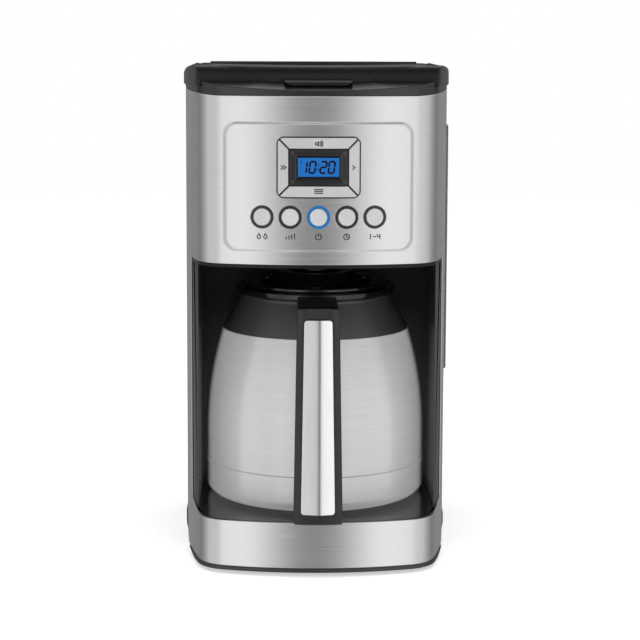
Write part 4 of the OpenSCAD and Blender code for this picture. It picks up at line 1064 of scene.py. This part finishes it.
def bezel():
    """Black frame round the screen, its inner sides sloping down to the glass."""
    outer_w, outer_h = SCREEN_W + 2 * BEZEL[0], SCREEN_H + 2 * BEZEL[1]
    loops = [    # width, height, corner and how far out
        (outer_w, outer_h, 2.2, 1.75), (outer_w, outer_h, 2.2, 2.25),
        (outer_w - 0.8, outer_h - 0.8, 1.9, 2.5), (SCREEN_W + 4.4, SCREEN_H + 4.4, 1.0, 2.5),
        (SCREEN_W + 3.6, SCREEN_H + 3.6, 0.8, 2.2), (SCREEN_W + 0.2, SCREEN_H + 0.2, 0.5, 0.15),
        (SCREEN_W, SCREEN_H, 0.4, -0.6), (SCREEN_W + 3.0, SCREEN_H + 3.0, 0.8, -0.6),
    ]
    rings = [
        [(x, bow_front(x, out), display_z + z) for x, z in rounded_rect(w, h, r, 8)]
        for w, h, r, out in loops
    ]
    piece = loft("display_bezel", rings + rings[:1], cap_low=False, cap_high=False)
    settle(shade(piece, 30), display_black, "display_frame", replace=False)


SEGMENTS = {  # segments of a digit: a top, b and c right, d bottom, e and f left, g middle
    "0": "abcdef", "1": "bc", "2": "abged", "3": "abgcd", "4": "fgbc", "5": "afgcd",
}


def digit_strokes(name, w, h):
    """Straight strokes of a plain numeral."""
    spots = {
        "a": ((0, h), (w, h)), "g": ((0, 0), (w, 0)), "d": ((0, -h), (w, -h)),
        "f": ((0, 0), (0, h)), "e": ((0, -h), (0, 0)), "b": ((w, 0), (w, h)), "c": ((w, -h), (w, 0)),
    }
    return [spots[key] for key in SEGMENTS[name]]


def bar(points, out, thick):
    """Flat bar with the given outline, in (x, z), laid on the bow."""
    return [[(x, bow_front(x, out - thick), z) for x, z in points],
            [(x, bow_front(x, out), z) for x, z in points]]


def on_screen(points):
    """Flat mark on the screen, its outline in (x, z) from the screen's middle."""
    return bar([(x, display_z + z) for x, z in points], SCREEN_OUT + 0.12, 0.12)


def screen():
    """Lit face with a plain time in seven-segment digits."""
    half_x, half_z, columns = 14.6, 6.7, 16
    top = [(half_x * (2 * k / columns - 1), half_z) for k in range(columns + 1)]
    outline = [(x, -half_z) for x, _ in top[::-1]] + top
    glass = loft("screen_face", [
        [(x, bow_front(x, out), display_z + z) for x, z in outline]
        for out in (SCREEN_OUT - 0.8, SCREEN_OUT)
    ])
    settle(shade(glass, 40), screen_blue, "lcd_module")

    digit_w, digit_h, thick, slant = 4.0, 8.0, 1.4, 0.12
    solids = []

    def stroke(start, end):
        """Six-sided segment from point to point, leaning with the digits."""
        d = (end - start).normalized()
        n, tip = Vector((-d.y, d.x)) * (thick / 2), d * (thick * 0.3)
        a, b = start + d * 0.1, end - d * 0.1
        outline = [a, a + tip - n, b - tip - n, b, b - tip + n, a + tip + n]
        solids.append(on_screen([(p.x + slant * p.y, p.y) for p in outline]))

    for name, x in (("1", -12.4), ("0", -6.3), ("2", 1.4), ("0", 7.2)):
        for start, end in digit_strokes(name, digit_w, digit_h / 2):
            stroke(Vector(start) + Vector((x, 0.0)), Vector(end) + Vector((x, 0.0)))
    for z in (1.6, -1.6):
        x = -0.3 + slant * z
        solids.append(on_screen([(x + u, z + w) for u, w in rounded_rect(1.0, 1.0, 0.3, 2)]))
    for z in (3.9, 2.9):
        ends = ((-12.6, -0.25), (-11.4, -0.25), (-11.4, 0.25), (-12.6, 0.25))
        solids.append(on_screen([(x, z + w) for x, w in ends]))
    digits = join("screen_digits", solids)
    settle(shade(digits, 30), digit_navy, "lcd_module", replace=False)


bezel()
screen()
paint(lens_clear, "display_lens")


def bow_transform(x):
    """Matrix that turns a piece, modelled at the front's middle, to arc length x on the bow."""
    move = Matrix.Translation(Vector((0, bow_y, 0)) * MM)
    return move @ Matrix.Rotation(x / FRONT_R, 4, "Z") @ move.inverted()


def turned_on_panel(name, profile, x):
    """Turns a closed profile of (radius, out) about a button's axis; out is before the wrap's face."""
    piece = turned(name, profile, 96, lambda x, z, out: (x, front_y - out, button_z + z))
    piece.data.transform(bow_transform(x))
    return shade(piece, 40)


CAP_OUT, CAP_BACK = PANEL_OUT + 1.3, -4.0     # front and back of a button, before the wrap's face
RING_OUT, RING_BACK = PANEL_OUT + 0.9, -4.5   # the same of the ring round it
CAP_GAP = 0.22                                # between the two


def buttons():
    cap = fillet([(0.0, CAP_OUT - 0.45), (button_r - 1.6, CAP_OUT - 0.1), (button_r - 0.55, CAP_OUT),
                  (button_r, CAP_OUT - 0.6), (button_r, CAP_BACK), (0.0, CAP_BACK)],
                 [0, 1.0, 0.5, 0.5, 0.2, 0], 5)
    inner = button_r + CAP_GAP
    ring = fillet([(inner, RING_BACK), (inner, RING_OUT - 0.35), (inner + 0.35, RING_OUT),
                   (ring_r - 0.5, RING_OUT), (ring_r, RING_OUT - 0.55), (ring_r, PANEL_OUT - 0.15),
                   (ring_r - 0.85, PANEL_OUT - 0.2), (ring_r - 0.85, RING_BACK)],
                  [0.1, 0.25, 0.25, 0.4, 0.4, 0.1, 0.1, 0.1], 4)
    for i in range(5):
        x, name = (i - 2) * BUTTON_PITCH, f"button_{i + 1}"
        settle(turned_on_panel(name + "_cap", cap, x), cap_silver, name)
        look, cad_node = (ring_blue, "light_ring") if i == 2 else (display_black, "button_rings")
        settle(turned_on_panel(name + "_ring", ring, x), look, cad_node)


MARK_SCALE = 1.2      # of the marks under the buttons and on the pads
MARK_DROP = 13.8      # from a button's axis down to its mark
MARK_WIDTH = 0.75
MARK_THICK = 0.25
MARK_LAP = 0.6        # of half a stroke's width, added at both of its ends
INK_OUT, PAD_INK_OUT = 0.04, 0.12    # the print's face before the panel and before a pad


def line(points, out):
    """Flat strokes of a printed mark, from point to point."""
    made = []
    for (x0, z0), (x1, z1) in zip(points, points[1:]):
        d = Vector((x1 - x0, z1 - z0)).normalized() * (MARK_WIDTH / 2)
        n = Vector((-d.y, d.x))
        a, b = Vector((x0, z0)) - d * MARK_LAP, Vector((x1, z1)) + d * MARK_LAP
        made.append(bar([tuple(a - n), tuple(b - n), tuple(b + n), tuple(a + n)], out, MARK_THICK))
    return made


def label(name, x, z, strokes, out, cad_node):
    """Printed mark of strokes round (x, z), riding with a CAD node."""
    solids = []
    for points in strokes:
        solids += line([(x + u * MARK_SCALE, z + w * MARK_SCALE) for u, w in points], out)
    settle(join(name, solids), print_black, cad_node, replace=False)


def shifted(strokes, dx):
    return [[(x + dx, z) for x, z in points] for points in strokes]


def labels():
    """Generic marks where the buttons and pads are named."""
    drop = [(0, 1.7), (-0.95, 0.0), (-0.8, -0.9), (0, -1.35), (0.8, -0.9), (0.95, 0.0), (0, 1.7)]
    marks = [
        shifted([drop], -1.9) + shifted([drop], 1.9),
        [[(u, -1.4), (u, -1.4 + h)] for u, h in ((-2.4, 1.1), (-0.8, 1.9), (0.8, 2.6), (2.4, 3.2))],
        [arc((0, 0), 1.7, 120, 420, 14), [(0, 0.3), (0, 2.1)]],
        [arc((0, 0), 1.7, 0, 360, 18), [(0, 1.1), (0, 0), (0.9, -0.4)]],
        shifted(digit_strokes("1", 0.2, 1.4), -2.6) + [[(-0.8, 0), (0.8, 0)]]
        + shifted(digit_strokes("4", 1.5, 1.4), 1.7),
    ]
    for i, strokes in enumerate(marks):
        label(f"mark_{i + 1}", (i - 2) * BUTTON_PITCH, button_z - MARK_DROP, strokes,
              PANEL_OUT + INK_OUT, "steel_wrap")
    out = front_y - span("pad_top")[0].y + PAD_INK_OUT
    half_x = (span("pad_right")[0].x + span("pad_right")[1].x) / 2
    half_z = (span("pad_top")[0].z + span("pad_top")[1].z) / 2 - display_z
    arrow = [(-0.7, -1.1), (0.7, 0), (-0.7, 1.1)]
    pads = {
        "pad_top": (0, half_z, [[(-1.9, -0.5), (-1.0, -0.5), (-0.1, -1.2), (-0.1, 1.2), (-1.0, 0.5),
                                 (-1.9, 0.5), (-1.9, -0.5)], arc((0, 0), 1.3, -50, 50, 6),
                                arc((0, 0), 2.3, -50, 50, 8)]),
        "pad_bottom": (0, -half_z, [[(-2.4, z), (2.4, z)] for z in (1.1, 0.0, -1.1)]),
        "pad_left": (-half_x, 0, shifted([arrow], -0.8) + shifted([arrow], 0.8)),
        "pad_right": (half_x, 0, [arrow]),
    }
    for pad in PADS:
        x, z, strokes = pads[pad]
        label(pad + "_mark", x, display_z + z, strokes, out, pad)


buttons()
labels()


# --------------------------------------------------------------- what stays as CAD
paint(tank_smoke, "water_tank")
paint(basket_black, "filter_basket", "charcoal_holder", "drip_stop_plunger")
paint(gold_mesh, "permanent_filter")
paint(charcoal_cloth, "charcoal_pod")
paint(board_green, "control_board", "power_board")
paint(case_black, "tact_switches")
paint(heater_metal, "heater_tube")
paint(bright_steel, "heater_bracket")
paint(phenolic, "thermostat")
paint(fuse_white, "thermal_fuse")
paint(hose_pale, "inlet_hose", "riser_tube")
paint(rubber, "outlet_nozzle", "drip_stop_seal")


# --------------------------------------------------------------- stage and light
def camera():
    """Camera fitted to the photograph: distances in millimetres, angles in degrees."""
    distance, height, side, down, roll = 1429.31, 391.12, -1.092, 7.266, 0.195
    yaw, pitch, lean = math.radians(side), math.radians(down), math.radians(roll)
    spot = Vector((distance * math.sin(yaw), carafe_y - distance * math.cos(yaw), height)) * MM
    ahead = Vector((-math.sin(yaw) * math.cos(pitch), math.cos(yaw) * math.cos(pitch), -math.sin(pitch)))
    level = Vector((math.cos(yaw), math.sin(yaw), 0))
    upright = level.cross(ahead)
    right = level * math.cos(lean) + upright * math.sin(lean)
    up = upright * math.cos(lean) - level * math.sin(lean)
    data = bpy.data.cameras.new("camera")
    data.sensor_width, data.lens = 36.0, 106.298
    data.shift_x, data.shift_y = 0.0072, -0.0781
    data.clip_start, data.clip_end = 0.05, 50.0
    made = bpy.data.objects.new("camera", data)
    bpy.context.scene.collection.objects.link(made)
    made.matrix_world = Matrix((
        (right.x, up.x, -ahead.x, spot.x), (right.y, up.y, -ahead.y, spot.y),
        (right.z, up.z, -ahead.z, spot.z), (0, 0, 0, 1),
    ))
    bpy.context.scene.camera = made


def lamp(name, spot, aim, size, power):
    """Soft box: an area light at spot that faces aim, in metres."""
    data = bpy.data.lights.new(name, "AREA")
    data.shape, data.size, data.size_y, data.energy = "RECTANGLE", size[0], size[1], power
    made = bpy.data.objects.new(name, data)
    bpy.context.scene.collection.objects.link(made)
    made.location = spot
    made.rotation_mode = "QUATERNION"
    made.rotation_quaternion = (Vector(aim) - Vector(spot)).to_track_quat("-Z", "Y")
    made.visible_glossy = False


def reflector(name, verts, faces, glow):
    """Part of the studio that is seen only in reflections; glow is its brightness at each vertex."""
    made = make(name, verts, faces, 1.0)
    attribute = made.data.attributes.new("glow", "FLOAT", "POINT")
    for k, value in enumerate(glow):
        attribute.data[k].value = value
    look, tree, shader = material(name, Base_Color=grey(0.0), Specular_IOR_Level=0.0,
                                  Emission_Color=grey(1.0))
    value = node(tree, "ShaderNodeAttribute", attribute_name="glow")
    tree.links.new(value.outputs["Fac"], shader.inputs["Emission Strength"])
    made.data.materials.append(look)
    made.visible_camera = made.visible_diffuse = made.visible_shadow = False
    made.visible_transmission = False


WALL = [  # azimuth from the front in degrees, and brightness of the studio's wall there
    (-180, 0.01), (-168, 0.01), (-164, 0.34), (-120, 0.30), (-100, 0.50), (-80, 0.95), (-48, 0.95),
    (-36, 1.30), (-25, 1.65), (-14, 0.85), (-6, 0.36), (5, 0.34), (13, 0.80), (24, 1.65),
    (38, 1.30), (50, 1.10), (80, 0.90), (100, 0.50), (120, 0.30), (164, 0.34), (168, 0.01), (180, 0.01),
]


WALL_STEPS = 6        # between two of its rows
WALL_R, WALL_Z = 1.3, (-1.2, 0.85)                   # metres
CEILING_X, CEILING_Y, CEILING_Z = 0.9, (-0.7, 0.5), 1.5
CEILING_GLOW = 0.2
FLOOR_HALF = 5.0


def wall():
    """Round wall of bright and dark stripes, and a dim ceiling."""
    verts, glow = [], []
    for (a, low), (b, high) in zip(WALL, WALL[1:]):
        for k in range(WALL_STEPS):
            t = math.radians(a + (b - a) * k / WALL_STEPS)
            for z in WALL_Z:
                verts.append((WALL_R * math.sin(t), -WALL_R * math.cos(t), z))
                glow.append(low + (high - low) * k / WALL_STEPS)
    n = len(verts) // 2
    faces = [(2 * k, 2 * ((k + 1) % n), 2 * ((k + 1) % n) + 1, 2 * k + 1) for k in range(n)]
    reflector("studio_wall", verts, faces, glow)
    (y0, y1), x = CEILING_Y, CEILING_X
    corners = [(-x, y0, CEILING_Z), (x, y0, CEILING_Z), (x, y1, CEILING_Z), (-x, y1, CEILING_Z)]
    reflector("studio_ceiling", corners, [(0, 1, 2, 3)], [CEILING_GLOW] * 4)


def by_ray(tree, rays, low, high, socket):
    """Feeds a socket with high for the named kinds of rays and with low for all others."""
    path = node(tree, "ShaderNodeLightPath")
    value = path.outputs[f"Is {rays[0]} Ray"]
    for ray in rays[1:]:
        either = node(tree, "ShaderNodeMath", operation="MAXIMUM")
        tree.links.new(value, either.inputs[0])
        tree.links.new(path.outputs[f"Is {ray} Ray"], either.inputs[1])
        value = either.outputs[0]
    chosen = node(tree, "ShaderNodeMapRange", To_Min_in=low, To_Max_in=high)
    tree.links.new(value, chosen.inputs["Value"])
    tree.links.new(chosen.outputs["Result"], socket)


def floor():
    """White ground, a little brighter to the camera than to all else, as the photo's is."""
    half = FLOOR_HALF
    made = make("floor", [(-half, -half, 0), (half, -half, 0), (half, half, 0), (-half, half, 0)],
                [(0, 1, 2, 3)], 1.0)
    look, tree, shader = material("floor_white", Base_Color=grey(0.92), Roughness=0.9,
                                  Specular_IOR_Level=0.0, Emission_Color=grey(1.0))
    by_ray(tree, ["Camera"], 0.14, 0.48, shader.inputs["Emission Strength"])
    made.data.materials.append(look)
    made.visible_glossy = False


def studio():
    """White surroundings, floor, wall and four soft boxes."""
    scene = bpy.context.scene
    scene.view_settings.view_transform = "Standard"
    scene.world = bpy.data.worlds.new("studio")
    scene.world.use_nodes = True
    tree = scene.world.node_tree
    back = tree.nodes["Background"]
    fill(back, Color=grey(1.0))
    by_ray(tree, ["Camera", "Glossy", "Transmission"], 0.55, 1.0, back.inputs["Strength"])
    floor()
    wall()
    for side, word in ((-1, "left"), (1, "right")):
        lamp(f"soft_box_{word}", (side * 0.60, -1.15, 0.45), (0, 0, 0.2), (0.36, 1.3), 2.0)
    lamp("front_box", (0.0, -1.9, 0.25), (0, 0, 0.15), (0.8, 0.6), 7.0)
    lamp("top_box", (0, -0.3, 1.6), (0, 0, 0.2), (1.2, 1.0), 7.0)


camera()
studio()
